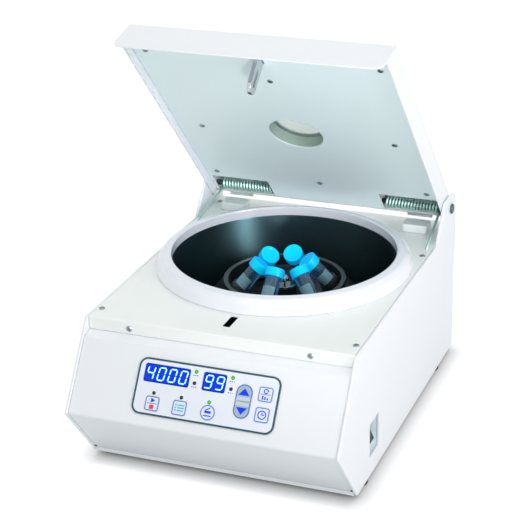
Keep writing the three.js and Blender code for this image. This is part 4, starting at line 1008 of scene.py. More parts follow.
def foot(x, y):
    low, high = reach("foot_front_left")
    radius = (high.x - low.x) / 2
    body = turned(rounded([(0, foot_low_z), (radius - foot_low_inset, foot_low_z, foot_low_corner),
                           (radius - foot_high_inset, foot_high_z, foot_high_corner), (0, foot_high_z)],
                          SMALL_STEPS), ROD_SIDES)
    groove = box_corners(radius - foot_groove_depth, radius + foot_groove_depth, foot_low_z + foot_groove_low,
                         foot_low_z + foot_groove_high)
    body = cut(body, turned(looped(groove), ROD_SIDES))
    return painted(shaded(settle(body, Matrix.Translation((x, y, 0)))), "rubber")


stop_corner = 2.5 * MM
stop_edge = 0.9 * MM


def stop_block(node):
    low, high = reach(node)
    return painted(eased(slab(low, high, stop_corner), stop_edge, 4), "white_plastic")


# A screw's dome, and its cross recess, as shares of its radius and height
dome_shares = ((1, -0.5), (1, 0.35), (0.86, 0.75), (0.5, 0.97))
cross_length_share = 0.62
cross_width_share = 0.13
cross_corner_share = 0.6
cross_reach_shares = ((0.45, 1.3), (0.44, 1.31))


def screw_head(radius, height, look):
    """A pan head with a cross recess, its seat at height zero."""
    side = [(radius * out, height * up) for out, up in dome_shares]
    head = turned([(0, side[0][1]), *side, (0, height)], BOSS_SIDES)
    arm = radius * cross_length_share
    wide = radius * cross_width_share
    bars = []
    for (half_x, half_y), (low, high) in zip(((arm, wide), (wide, arm)), cross_reach_shares):
        bars.append(slab((-half_x, -half_y, height * low), (half_x, half_y, height * high),
                         wide * cross_corner_share))
    return painted(shaded(cut(head, *bars), SHARP_ANGLE), look)


def add_screws(spots, size, look, name, body="case", place=case_place):
    """One screw head, copied to each spot, and handed over as one piece."""
    first = screw_head(*size, look)
    heads = [copied(first, spot) for spot in spots]
    bpy.data.objects.remove(first)
    hand_over(grouped(*heads), name, body, place=place)


def turned_place(x, y, z, tilt=0.0, twist=0.0):
    """A place whose upright axis leans about X, with a turn round that axis."""
    return Matrix.Translation((x, y, z)) @ Matrix.Rotation(tilt, 4, "X") @ Matrix.Rotation(twist, 4, "Z")


# Bowl and ring

mouth_radius = 117.4 * MM
ring_play = 0.4 * MM
ring_seat = 1.9 * MM
bowl_rim_z = reach("bowl")[1].z
bowl_wall = 1.5 * MM

# The ring's outside, as the distance in from its edge, the height above its foot and the corner, in
# millimetres, and then the same for its shoulder, measured down from the top
ring_side = ((0, 0, 0.6), (0, 2.3, 1.2), (3.2, 10.3, 4))
ring_shoulder = (8.2, 1.2, 4)
ring_lip_width = 2.6 * MM
ring_lip_corner = 2 * MM
ring_mouth_corner = 1.3 * MM


def bowl_ring():
    seat_z = bowl_rim_z + gap
    wall = bowl_outer_radius + ring_play
    groove = bowl_flange_radius + ring_play
    side = [(ring_radius - inset, ring_foot_z + height, corner)
            for inset, height, corner in in_metres(ring_side)]
    inset, drop, corner = in_metres([ring_shoulder])[0]
    profile = looped([
        (mouth_radius, ring_top_z, ring_mouth_corner),
        (mouth_radius, seat_z),
        (wall, seat_z),
        (wall, ring_foot_z + ring_seat),
        (groove, ring_foot_z + ring_seat),
        (groove, ring_foot_z),
        *side,
        (ring_radius - inset, ring_top_z - drop, corner),
        (mouth_radius + ring_lip_width, ring_top_z, ring_lip_corner),
    ])
    return painted(shaded(turned(profile, RING_SIDES)), "ring_plastic")


bowl_rim_corner = 0.5 * MM
bowl_floor_corner = 17 * MM
bowl_under_corner = 18.5 * MM
tower_radius = 40 * MM
tower_height = 40 * MM
tower_foot_corner = 6 * MM
tower_inner_foot_corner = 7.5 * MM
tower_top_corner = 3 * MM
tower_inner_top_corner = 1.5 * MM
tower_hole = 12 * MM


def bowl():
    floor_z = bowl_under_z + bowl_wall
    flange_z = deck_z + ring_play
    tower_z = floor_z + tower_height
    outside = mouth_radius + bowl_wall
    inside = tower_radius - bowl_wall
    profile = looped([
        (mouth_radius, bowl_rim_z, bowl_rim_corner),
        (mouth_radius, floor_z, bowl_floor_corner),
        (tower_radius, floor_z, tower_foot_corner),
        (tower_radius, tower_z, tower_top_corner),
        (tower_hole, tower_z),
        (tower_hole, tower_z - bowl_wall),
        (inside, tower_z - bowl_wall, tower_inner_top_corner),
        (inside, bowl_under_z, tower_inner_foot_corner),
        (outside, bowl_under_z, bowl_under_corner),
        (outside, flange_z),
        (bowl_flange_radius, flange_z),
        (bowl_flange_radius, flange_z + bowl_wall),
        (outside, flange_z + bowl_wall),
        (outside, bowl_rim_z, bowl_rim_corner),
    ])
    return painted(shaded(turned(profile, RING_SIDES)), "bowl_black")


# Rotor, nut, tubes and caps

tube_count = 6
tube_azimuth = math.radians(28)
patch_turns = (-75, 12, -14, 50, -4, -60)
tube_tilt = math.radians(41)
cap_circle = 23.3 * MM
cap_top_z = 151.3 * MM
rim_radius = 64.4 * MM
rim_width = 5 * MM
rim_z = reach("rotor")[1].z
rim_depth = 4.3 * MM
rim_top_corner = 0.6 * MM
rim_foot_corner = 2 * MM
rim_inner_corner = 0.8 * MM
rotor_radius = reach("rotor")[1].x
hub_face_z = 124.5 * MM
hub_bore = 5.4 * MM
hub_radius = 13 * MM
hub_corner = 0.6 * MM

# The skirt, as how far in from the widest it lies, its height and its corner, in millimetres
skirt_profile = ((7.1, 90, 6), (1, 80, 4), (0, 58, 3), (3, 50, 1), (15, 50, 1), (30.1, 69, 5))

# The underside and the dish, as radius, height and corner, in millimetres
underside_profile = ((54, 97.5, 2), (50, 100), (18, 104), (16, 104), (16, 86.3), (5.4, 86.3))
dish_profile = ((13, 112, 1.5), (20, 110, 4), (57, 121, 3))

# The sleeves and the bores along a tube's own axis
sleeve_radius = 10.2 * MM
sleeve_low = -60 * MM
sleeve_high = -33 * MM
bore_tip_radius = 2 * MM
bore_radius = 8.75 * MM
bore_low = -119.5 * MM
bore_cone = -104.5 * MM
bore_high = -31 * MM
rim_paint_depth = 0.7 * MM
rim_paint_reach = 0.4 * MM


def tube_place(index):
    """A tube's own frame: the origin at the top of its cap, upright along the tube."""
    azimuth = tube_azimuth + FULL * index / tube_count
    place = Matrix.Translation((cap_circle * math.cos(azimuth), cap_circle * math.sin(azimuth), cap_top_z))
    return place @ Matrix.Rotation(azimuth, 4, "Z") @ Matrix.Rotation(-tube_tilt, 4, "Y")


def rotor():
    skirt = [(rotor_radius - inset, height, corner) for inset, height, corner in in_metres(skirt_profile)]
    body = turned(looped([
        (rim_radius, rim_z, rim_top_corner),
        (rim_radius, rim_z - rim_depth, rim_foot_corner),
        *skirt,
        *in_metres(underside_profile),
        (hub_bore, hub_face_z),
        (hub_radius, hub_face_z, hub_corner),
        *in_metres(dish_profile),
        (rim_radius - rim_width, rim_z, rim_inner_corner),
    ]), ROTOR_SIDES)
    places = [tube_place(i) for i in range(tube_count)]
    sleeves = [settle(post(sleeve_radius, sleeve_low, sleeve_high), place) for place in places]
    bore = [(0, bore_low), (bore_tip_radius, bore_low), (bore_radius, bore_cone), (bore_radius, bore_high),
            (0, bore_high)]
    bores = [settle(turned(bore, ROD_SIDES), place) for place in places]
    body = painted(shaded(cut(fused(body, *sleeves), *bores), SHARP_ANGLE), "rotor_black",
                   "rim_grey")
    return repaint(body, 1, lambda middle, normal: middle.z > rim_z - rim_paint_depth
                   and math.hypot(middle.x, middle.y) > rim_radius - rim_width - rim_paint_reach)


nut_across = 6.2 * MM
nut_low = 1.4 * MM
nut_high = 6.6 * MM
nut_bore = 5.3 * MM
washer_radius = 12.6 * MM
washer_low_corner = 0.3 * MM
washer_top_corner = 0.5 * MM
washer_height = 1.5 * MM
chamfer_shares = (1.3, 0.88)
chamfer_low = 5.2 * MM
chamfer_high = 6.7 * MM
dome_radius = 5.5 * MM
dome_foot = 5 * MM
dome_middle = 5.7 * MM
dome_steps = 10


def rotor_nut():
    low = hub_face_z + gap
    washer = turned(looped([
        (nut_bore, low), (washer_radius, low, washer_low_corner),
        (washer_radius, low + washer_height, washer_top_corner), (nut_bore, low + washer_height)]), NUT_SIDES)
    hex_body = flat(circle(nut_across, steps=6), low + nut_low, low + nut_high)
    wide, narrow = (nut_across * share for share in chamfer_shares)
    chamfer = turned([(0, low), (wide, low), (wide, low + chamfer_low), (narrow, low + chamfer_high),
                      (0, low + chamfer_high)], NUT_SIDES)
    hex_body = boolean(hex_body, [chamfer], "INTERSECT")
    turns = [QUARTER * k / dome_steps for k in range(dome_steps)]
    arc = [(dome_radius * math.cos(t), low + dome_middle + dome_radius * math.sin(t)) for t in turns]
    dome = turned([(0, low + dome_foot), (dome_radius, low + dome_foot), *arc,
                   (0, low + dome_middle + dome_radius)], NUT_SIDES)
    return painted(shaded(fused(washer, hex_body, dome), SHARP_ANGLE), "chrome")


SKIN_STEP = math.radians(6)


def wrapped(radius, low, high, middle, spread, thickness):
    """A thin skin round part of a tube, between two heights."""
    line = drawn([Vector((radius, 0, low)), Vector((radius, 0, high))])
    bpy.ops.mesh.spin(steps=max(2, round(spread / SKIN_STEP)), angle=spread, center=(0, 0, 0), axis=(0, 0, 1))
    bpy.ops.object.mode_set(mode="OBJECT")
    settle(line, Matrix.Rotation(middle + spread / 2, 4, "Z"))
    skin = line.modifiers.new("skin", "SOLIDIFY")
    skin.thickness = thickness
    skin.offset = 0
    bpy.ops.object.modifier_apply(modifier=skin.name)
    return line


tube_top = -2.3 * MM
tube_length = 119 * MM
tube_cone = 15 * MM
tube_tip = 1.5 * MM
tube_wall = 1 * MM
tube_cone_corner = 3 * MM
tube_tip_corner = 0.6 * MM
tube_lip_corner = 0.4 * MM
tube_inner_corner = 0.2 * MM
tube_tip_inset = 0.5 * MM
print_thickness = 0.06 * MM
print_lift = 0.05 * MM
patch_low = -58 * MM
patch_high = -20.5 * MM
patch_spread = math.radians(112)
mark_count = 15
mark_top = -13 * MM
mark_pitch = 2.2 * MM
mark_height = 0.35 * MM
mark_middle = math.radians(100)
mark_spread = math.radians(26)
long_mark_spread = math.radians(46)
long_mark_every = 5


def sample_tube(radius):
    cone = -tube_length + tube_cone
    inner = radius - tube_wall
    floor = -tube_length + tube_wall
    body = turned(rounded([
        (inner, tube_top, tube_inner_corner), (radius, tube_top, tube_lip_corner),
        (radius, cone, tube_cone_corner), (tube_tip, -tube_length, tube_tip_corner), (0, -tube_length),
        (0, floor), (tube_tip - tube_tip_inset, floor), (inner, cone, tube_cone_corner), (inner, tube_top)]),
        NUT_SIDES)
    painted(shaded(body), "tube_clear")
    face = radius + print_lift
    patch = wrapped(face, patch_low, patch_high, 0, patch_spread, print_thickness)
    painted(shaded(patch), "patch_white")
    marks = []
    for k in range(mark_count):
        height = mark_top - k * mark_pitch
        spread = mark_spread if k % long_mark_every else long_mark_spread
        line = wrapped(face, height, height + mark_height, mark_middle, spread, print_thickness)
        marks.append(painted(line, "tube_ink"))
    return grouped(body, patch, *marks)


# A cap's half section from the middle of its top, as radius, height and corner, in millimetres
cap_profile = ((0, -0.35), (6.6, -0.35, 0.3), (7.2, 0, 0.3), (10.3, 0, 1.1), (10.3, -7.9), (10.1, -9.5, 0.3),
               (8.5, -9.5), (8.5, -2), (0, -2))


def cap():
    # The cap's finish carries painted shade on its sides and a painted glow
    return painted(shaded(turned(rounded(in_metres(cap_profile)), DISC_SIDES)), "cap_blue")


# Lid, drawn closed about its hinge: x across, y back from the hinge axis, z up

lid_half = 136.2 * MM
lid_sheet = 1.2 * MM
lid_top = 11.5 * MM
lid_under = lid_top - lid_sheet
lid_rear = 9.2 * MM
lid_rear_lip = -6.2 * MM
lid_rear_bend = 2.2 * MM
lid_front_bend = 2.5 * MM
flange_run = 23 * MM
flange_drop = 39.5 * MM
flange_angle = math.atan2(flange_run, flange_drop)
flange_corner = 10 * MM
flange_corner_steps = 12
flange_corner_zone = 2 * MM
lid_front = 311.32 * MM
lid_frame = 0.6 * MM
side_lip = -15.6 * MM
side_lip_front_corner = 1 * MM
side_lip_rear_corner = 3 * MM
overlap = 0.2 * MM
tab_inset = 17.2 * MM
tab_width = 28 * MM
tab_drop = 3.3 * MM
knuckle_radius = rod_radius + 1.3 * MM
knuckle_near = 50 * MM
knuckle_far = 62 * MM
window_hole = 26 * MM
window_u = hinge_point.y + 2.7 * MM


def flange_inner(height):
    """How far forward the flange's inner face lies at a height."""
    return lid_front + flange_run * (lid_top - height) / flange_drop - lid_sheet / math.cos(flange_angle)


def lid_skin():
    """The bent sheet of the lid's top, rear flange and flared front flange, its two front tips rounded."""
    path = rounded([
        (lid_rear, lid_rear_lip), (lid_rear, lid_top, lid_rear_bend), (-lid_front, lid_top, lid_front_bend),
        (-lid_front - flange_run, lid_top - flange_drop)])
    skin = sideways(sheet_outline(path, lid_sheet), -lid_half, lid_half)
    alone(skin)
    bpy.ops.object.mode_set(mode="EDIT")
    tip = lid_top - flange_drop + flange_corner_zone
    choose_edges(skin, lambda corner: corner.z < tip and abs(corner.x) > lid_half - WELD)
    mesh = bmesh.from_edit_mesh(skin.data)
    for edge in mesh.edges:
        if edge.select and abs(edge.verts[0].co.x - edge.verts[1].co.x) > WELD:
            edge.select_set(False)
    bmesh.update_edit_mesh(skin.data)
    bpy.ops.mesh.bevel(offset=flange_corner, segments=flange_corner_steps, affect="EDGES")
    bpy.ops.object.mode_set(mode="OBJECT")
    return skin


def lid_shell(edge_radius):
    skin = lid_skin()
    wall = rounded([
        (lid_rear, lid_under + overlap), (-flange_inner(lid_under) - overlap, lid_under + overlap),
        (-flange_inner(side_lip) - overlap, side_lip, side_lip_front_corner),
        (lid_rear, side_lip, side_lip_rear_corner)])
    parts = [sideways(wall, x, x + lid_sheet) for x in (-lid_half, lid_half - lid_sheet)]
    tab_high = lid_half - tab_inset
    for side in (-1, 1):
        low, high = sorted((side * (tab_high - tab_width), side * tab_high))
        parts.append(slab((low, lid_rear - lid_sheet, lid_rear_lip - tab_drop),
                          (high, lid_rear, lid_rear_lip + overlap)))
    for side in (-1, 1):
        low, high = sorted((side * knuckle_near, side * knuckle_far))
        parts.append(rod_along_x(knuckle_radius, low, high, 0, 0, BOSS_SIDES))
        parts.append(slab((low, -knuckle_radius, 0), (high, knuckle_radius, lid_under + overlap)))
    shell = fused(skin, *parts)
    holes = [rod_along_x(rod_radius + gap, -lid_half - sheet, lid_half + sheet, 0, 0, BOSS_SIDES),
             post(window_hole, lid_under - sheet, lid_top + sheet, 0, -window_u, DISC_SIDES)]
    return painted(eased(cut(shell, *holes), edge_radius, margin=lid_frame), "panel_paint")


liner_low = -6.2 * MM
liner_high = -4.7 * MM
liner_side_gap = 0.5 * MM
liner_front_gap = 1.8 * MM
liner_corner = 4 * MM
notch_near = 64.4 * MM
notch_length = 28 * MM
notch_corner = 2.5 * MM
collar_radius = 29 * MM
collar_wall = 2 * MM
collar_clearance = 3.4 * MM
liner_slot_half = 2.8 * MM
liner_slot_end = 0.8 * MM
liner_slot_corner = 1 * MM
tongue_rear = hinge_point.y + ring_radius + 7 * MM
tongue_front = tongue_rear + 16 * MM

# Where the liner's screws stand, across and forward from the hinge, in millimetres
liner_screws = [(120.9, 293.5), (-120.9, 293.5), (106.1, 146.4), (-106.1, 146.4), (120.9, 41), (-120.9, 41),
                (0, 254.6), (0, 39)]


def lid_liner(edge_radius):
    wide = lid_half - lid_sheet - liner_side_gap
    front = flange_inner(liner_low) - liner_front_gap
    rear = lid_rear - lid_sheet - gap
    half = [(wide, -front, liner_corner), (wide, rear), (leg_x, rear), (leg_x, -notch_length, notch_corner),
            (notch_near, -notch_length, notch_corner), (notch_near, rear)]
    mirrored = [(-x, *rest) for x, *rest in half]
    outline = rounded([mirrored[0], *half, *mirrored[:0:-1]])
    plate = flat(outline, liner_low, liner_high)
    collar_top = lid_under - collar_clearance
    collar = turned(looped([
        (collar_radius, collar_top), (collar_radius, liner_high), (collar_radius + collar_wall, liner_high),
        (collar_radius + collar_wall, collar_top)]), DISC_SIDES)
    settle(collar, Matrix.Translation((0, -window_u, 0)))
    slot = slab((-liner_slot_half, -tongue_front - liner_slot_end, liner_low - sheet),
                (liner_slot_half, -tongue_rear + liner_slot_end, liner_high + sheet), liner_slot_corner)
    opening = post(collar_radius, liner_low - sheet, liner_high + sheet, 0, -window_u, DISC_SIDES)
    plate = painted(eased(cut(plate, opening, slot), edge_radius), "liner_plastic")
    # The collar's darker finish is painted shade for the window's recess
    return grouped(plate, painted(shaded(collar), "collar_painted_shade"))


window_radius = 30.8 * MM
window_thickness = 2.8 * MM
window_edge = 0.5 * MM


def lid_window():
    top = lid_under - gap
    low = top - window_thickness
    disc = turned(rounded([(0, low), (window_radius, low, window_edge), (window_radius, top, window_edge),
                           (0, top)], SMALL_STEPS), DISC_SIDES)
    return painted(shaded(settle(disc, Matrix.Translation((0, -window_u, 0)))), "window_clear")


tongue_half = 2 * MM
tongue_tip = -44 * MM
tongue_corner = 7 * MM
tongue_edge = 0.5 * MM
tongue_slot_inset = 5.5 * MM
tongue_slot_width = 5 * MM
tongue_slot_top = -18 * MM
tongue_slot_length = 20 * MM
tongue_slot_corner = 2.4 * MM
sole_half = 14 * MM
sole_margin = 4 * MM
sole_thickness = 2 * MM
sole_corner = 2 * MM


def latch_tongue():
    top = lid_under - gap
    blade = sideways(rounded([
        (-tongue_front, tongue_tip, tongue_corner), (-tongue_rear, tongue_tip, tongue_corner),
        (-tongue_rear, top), (-tongue_front, top)]), -tongue_half, tongue_half)
    slot_rear = tongue_rear + tongue_slot_inset
    slot = sideways(rounded(box_corners(-slot_rear - tongue_slot_width, -slot_rear,
                                        tongue_slot_top - tongue_slot_length, tongue_slot_top,
                                        tongue_slot_corner)), -tongue_half - sheet, tongue_half + sheet)
    sole = slab((-sole_half, -tongue_front - sole_margin, top - sole_thickness),
                (sole_half, -tongue_rear + sole_margin, top), sole_corner)
    return painted(eased(cut(fused(blade, sole), slot), tongue_edge), "zinc")


rod_head_radius = 5.5 * MM
rod_head_corner = 1 * MM
rod_arc_steps = 5
recess_arm = 3 * MM
recess_half = 0.6 * MM
recess_corner = 0.4 * MM

# A cross recess is two slots, one a hair deeper so that no faces coincide
recess_depth = 1 * MM
recess_second_depth = 1.01 * MM


def hinge_rod():
    head = half_width + gap
    end = reach("hinge_rod")[1].x
    rod = turned(rounded([
        (0, -end), (rod_head_radius, -end, rod_head_corner), (rod_head_radius, -head), (rod_radius, -head),
        (rod_radius, head), (rod_head_radius, head), (rod_head_radius, end, rod_head_corner), (0, end)],
        rod_arc_steps), ROD_SIDES)
    recesses = []
    for z in (-end, end):
        for half_x, half_y, depth in ((recess_arm, recess_half, recess_depth),
                                      (recess_half, recess_arm, recess_second_depth)):
            recesses.append(slab((-half_x, -half_y, z - depth), (half_x, half_y, z + depth), recess_corner))
    rod = shaded(cut(rod, *recesses), SHARP_ANGLE)
    settle(rod, Matrix.Rotation(QUARTER, 4, "Y"))
    # The rod's dark finish is partly painted shade between the spring's coils
    return painted(settle(rod, Matrix.Translation((0, hinge_point.y, hinge_point.z))), "rod_steel_coil_shade")


coil_radius = 5.3 * MM
coil_turns = 17
coil_length = 60.7 * MM
coil_outer = leg_x - 4.5 * MM
coil_inner = coil_outer - coil_length
wire_radius = 1.35 * MM
lid_leg_length = 45 * MM
deck_leg_corner = 2.4 * MM
deck_leg_depth = 8 * MM
leg_bend = 4 * MM
leg_bend_steps = 6


def lid_spring(side, turn_steps):
    """A torsion spring: a leg in the lid, the coil round the rod and a leg down into the deck."""
    foot_z = deck_z + deck_leg_corner
    back = hinge_point.y - leg_y
    drop = hinge_point.z - foot_z
    leg_slope = math.atan2(drop, back) - math.asin(coil_radius / math.hypot(back, drop))
    start = QUARTER - open_angle
    sweep = FULL * coil_turns + start + QUARTER - leg_slope
    count = round(turn_steps * sweep / FULL)
    coil = []
    for i in range(count + 1):
        angle = start - sweep * i / count
        coil.append(Vector((side * (coil_inner + coil_length * i / count),
                            hinge_point.y + coil_radius * math.cos(angle),
                            hinge_point.z + coil_radius * math.sin(angle))))
    lid_leg = coil[0] + Vector((0, -math.cos(open_angle), math.sin(open_angle))) * lid_leg_length
    corner = Vector((side * leg_x, leg_y, foot_z))
    near = corner + (coil[-1] - corner).normalized() * leg_bend
    below = corner - Vector((0, 0, leg_bend))
    shares = [k / leg_bend_steps for k in range(leg_bend_steps + 1)]
    curve = [near * (1 - t) ** 2 + corner * 2 * t * (1 - t) + below * t ** 2 for t in shares]
    end = corner - Vector((0, 0, deck_leg_depth))
    spring = wire([lid_leg, *coil, *curve, end], wire_radius)
    # The wire's greenish tint is partly painted reflection
    return painted(shaded(spring, ROUND_ANGLE), "spring_wire")


# Controls, drawn in the sloped face's own frame: x across, y up the slope, z out of the face

overlay_width = 145.5 * MM
overlay_low = 12.4 * MM
overlay_high = 67.7 * MM
overlay_corner = 9 * MM
overlay_arc_steps = 12
border_inset = 0.1 * MM
border_width = 1.9 * MM
film_low = gap
film_high = gap + 0.8 * MM
film_cut_high = 2 * MM
key_high = film_high + 0.25 * MM
key_thickness = 0.6 * MM
key_line_inset = 0.2 * MM
key_line_width = 0.75 * MM
board_top = -8 * MM
stem_radius = 1.6 * MM
stem_rise = 1.1 * MM
stem_drop = 0.5 * MM
key_side = 14.1 * MM
key_corner = 2.4 * MM
pad_x, pad_s = 38 * MM, 39.8 * MM
pad_width, pad_height = 16 * MM, 32.4 * MM
pad_corner_inset = 0.2 * MM
pad_arc_steps = 14
pad_line_gap = 1.2 * MM
door_radius = 7.3 * MM
keys = {
    "key_start": (-52 * MM, 24.1 * MM), "key_program": (-23.7 * MM, 24.1 * MM),
    "key_door": (5.4 * MM, 24.1 * MM), "key_up": (pad_x, pad_s), "key_down": (pad_x, pad_s),
    "key_mode": (59 * MM, 49.6 * MM), "key_time": (59 * MM, 30.1 * MM),
}
arrow_sides = {"key_up": 1, "key_down": -1}

# A normal's least upward part on a top face, and its most on a side face
TOP_NORMAL = 0.9
SIDE_NORMAL = 0.5


def key_outline(node, margin=0):
    x, s = keys[node]
    if node == "key_door":
        return circle(door_radius + margin, x, s)
    if node in arrow_sides:
        up = arrow_sides[node]
        flat_s = s + up * gap
        round_s = s + up * pad_height / 2
        half = pad_width / 2
        corner = half - pad_corner_inset
        return rounded([(x - up * half, flat_s), (x + up * half, flat_s), (x + up * half, round_s, corner),
                        (x - up * half, round_s, corner)], pad_arc_steps)
    side = key_side + 2 * margin
    return centred_box(x, s, side, side, key_corner + margin)


def ringed(piece, top, margin, line, outer_index, inner_index):
    """Insets the top face twice, so that a printed line runs round it."""
    alone(piece)
    bpy.ops.object.mode_set(mode="EDIT")
    choose_faces(piece, lambda middle, normal: normal.z > TOP_NORMAL and middle.z > top - WELD)
    for width, index in ((margin, outer_index), (line, inner_index)):
        bpy.ops.mesh.inset(thickness=width, depth=0)
        piece.active_material_index = index
        bpy.ops.object.material_slot_assign()
    bpy.ops.object.mode_set(mode="OBJECT")
    return piece


def control_overlay():
    corners = box_corners(-overlay_width / 2, overlay_width / 2, overlay_low, overlay_high, overlay_corner)
    film = flat(rounded(corners, overlay_arc_steps), film_low, film_high)
    painted(film, "film", "film_edge")
    ringed(film, film_high, border_inset, border_width, 1, 0)
    repaint(film, 1, lambda middle, normal: abs(normal.z) < SIDE_NORMAL)
    outlines = [key_outline(node, gap) for node in keys if node not in arrow_sides]
    outlines.append(centred_box(pad_x, pad_s, pad_width + 2 * gap, pad_height + 2 * gap, pad_width / 2,
                                pad_arc_steps))
    outlines += [display_outline(node) for node in displays]
    tools = [flat(outline, 0, film_cut_high) for outline in outlines]
    return shaded(cut(film, *tools), SHARP_ANGLE)


def mark(points, look, high=key_high, thickness=0.07 * MM):
    """A printed mark: a thin solid that stands just over the film."""
    return painted(flat(points, high - thickness, high + thickness), look)


def bar(x, y, width, height, turn=0.0):
    """A bar's corners round a middle, turned by an angle."""
    corners = [(across * width / 2, up * height / 2) for across, up in ((-1, -1), (1, -1), (1, 1), (-1, 1))]
    return [Vector((x + a * math.cos(turn) - b * math.sin(turn), y + a * math.sin(turn) + b * math.cos(turn)))
            for a, b in corners]


def band(x, y, radius, width, first=0.0, last=FULL, steps=28):
    """Part of a flat ring."""
    turns = [first + (last - first) * k / steps for k in range(steps + 1)]
    outer, inner = ([Vector((x + edge * math.cos(t), y + edge * math.sin(t))) for t in turns]
                    for edge in (radius + width / 2, radius - width / 2))
    return outer + inner[::-1]


def triangle(x, y, size, turn):
    return [Vector((x + size * math.cos(turn + FULL * k / 3), y + size * math.sin(turn + FULL * k / 3)))
            for k in range(3)]


# The keys' signs: ink, shape, place from the key's middle and sizes in millimetres, and turn
key_signs = {
    "key_start": [
        ("ink_blue", triangle, (0, 3.1, 2.8), 0),
        ("ink_blue", bar, (0, 0, 9.8, 0.5)),
        ("ink_red", bar, (0, -3.3, 4.2, 4.2)),
    ],
    "key_program": [("ink_cyan", bar, (across, row * 2.6, width, height)) for row in (-1, 0, 1)
                    for across, width, height in ((1.4, 6.6, 1.2), (-3.7, 1.5, 1.5))],
    "key_door": [
        ("ink_blue", bar, (0, 0.5, 6.4, 2.2)),
        ("ink_blue", bar, (-0.4, 3.3, 5.8, 0.95), math.radians(32)),
        ("ink_blue", bar, (0, -3.1, 7.8, 1.1)),
    ],
    "key_mode": [
        ("ink_blue", band, (0, 3, 1.95, 0.95), math.radians(40), math.radians(330), 24),
        ("ink_blue", triangle, (2, 3.4, 1.3), math.radians(100)),
        ("ink_blue", bar, (0, 0, 9.8, 0.5)),
        ("ink_blue", bar, (-2.4, -3.2, 1.4, 3.8)),
        ("ink_blue", bar, (0, -3.7, 1.4, 2.8)),
        ("ink_blue", bar, (2.4, -4.2, 1.4, 1.8)),
    ],
    "key_time": [
        ("ink_blue", band, (0, 0, 3.8, 1), 0, math.radians(359.9)),
        ("ink_blue", bar, (0, 1.15, 0.9, 2.7)),
        ("ink_blue", bar, (0.95, 0, 2.4, 0.9)),
    ],
}
arrow_tip = 12.6 * MM
arrow_base = 5.8 * MM
arrow_half = 5.6 * MM
light_bar_s = 2.4 * MM
light_bar_inset = 2.2 * MM
light_bar_height = 3.8 * MM
light_bar_thickness = 0.03 * MM


def sign_marks(node):
    x, s = keys[node]
    marks = []
    for ink, shape, lengths, *turns in key_signs[node]:
        across, up, *sizes = (length * MM for length in lengths)
        marks.append(mark(shape(x + across, s + up, *sizes, *turns), ink))
    return marks


def arrow_marks(up):
    tip = pad_s + up * arrow_tip
    base = pad_s + up * arrow_base
    arrow = [Vector((pad_x - arrow_half, base)), Vector((pad_x + arrow_half, base)), Vector((pad_x, tip))]
    light = bar(pad_x, pad_s + up * light_bar_s, pad_width - light_bar_inset, light_bar_height)
    return [mark(arrow, "ink_blue"), mark(light, "pad_light", thickness=light_bar_thickness)]


def key(node):
    """A key's film cap with its printed line and mark, and the stem down to the board."""
    outline = key_outline(node)
    body = flat(outline, key_high - key_thickness, key_high)
    painted(body, "pad_film" if node in arrow_sides else "key_film", "ink_pale")
    ringed(body, key_high, key_line_inset, key_line_width, 1, 0)
    if node in arrow_sides:
        repaint(body, 0, lambda middle, normal: abs(middle.y - pad_s) < pad_line_gap)
    middle_s = sum(point.y for point in outline) / len(outline)
    stem = post(stem_radius, board_top + stem_rise, key_high - stem_drop, keys[node][0], middle_s, PIN_SIDES)
    painted(stem, "white_plastic")
    printed = arrow_marks(arrow_sides[node]) if node in arrow_sides else sign_marks(node)
    return grouped(shaded(body, SHARP_ANGLE), stem, *printed)


# A digit's bars: how far across and up each lies in halves of the digit, and whether it lies flat
SEGMENTS = {"a": (0, 1, True), "g": (0, 0, True), "d": (0, -1, True), "b": (1, 0.5, False),
            "c": (1, -0.5, False), "e": (-1, -0.5, False), "f": (-1, 0.5, False)}
SHOWN = {"4": "bcfg", "0": "abcdef", "9": "abcdfg"}
digit_width = 6.6 * MM
digit_height = 12.2 * MM
digit_pitch = 11.3 * MM
digit_slant = math.tan(math.radians(8))
segment_end = 0.35 * MM
halo_stroke = 1.8 * MM
core_stroke = 0.9 * MM
dark_stroke = 1.3 * MM
halo_thickness = 0.04 * MM
core_thickness = 0.08 * MM
display_drop = 0.2 * MM
display_rim = 0.45 * MM
display_line = 0.35 * MM


def segment(x, y, level, stroke):
    """One bar of a digit, pointed at both ends."""
    across, along, lying = level
    middle = Vector((across * digit_width / 2, along * digit_height / 2))
    length = (digit_width if lying else digit_height / 2) / 2 - segment_end
    half = stroke / 2
    shape = [(-length, 0), (-length + half, half), (length - half, half), (length, 0), (length - half, -half),
             (-length + half, -half)]
    if not lying:
        shape = [(b, a) for a, b in shape]
    points = [middle + Vector(point) for point in shape]
    return [Vector((x + point.x + point.y * digit_slant, y + point.y)) for point in points]


def display(node):
    """A display window: dark edge, blue field, and digits of lit and unlit bars."""
    x, _, figures = displays[node]
    high = film_high - display_drop
    body = flat(display_outline(node, -gap), board_top + gap, high)
    painted(body, "display_edge", "display_blue")
    ringed(body, high, display_rim, display_line, 0, 1)
    lit_looks = ((halo_stroke, "segment_halo", halo_thickness), (core_stroke, "segment_lit", core_thickness))
    dark_looks = ((dark_stroke, "segment_dark", halo_thickness),)
    parts = []
    for i, figure in enumerate(figures):
        digit_x = x + (i - (len(figures) - 1) / 2) * digit_pitch
        for name, level in SEGMENTS.items():
            for stroke, look, thickness in lit_looks if name in SHOWN[figure] else dark_looks:
                parts.append(mark(segment(digit_x, display_s, level, stroke), look, high, thickness))
    return grouped(shaded(body, SHARP_ANGLE), *parts)


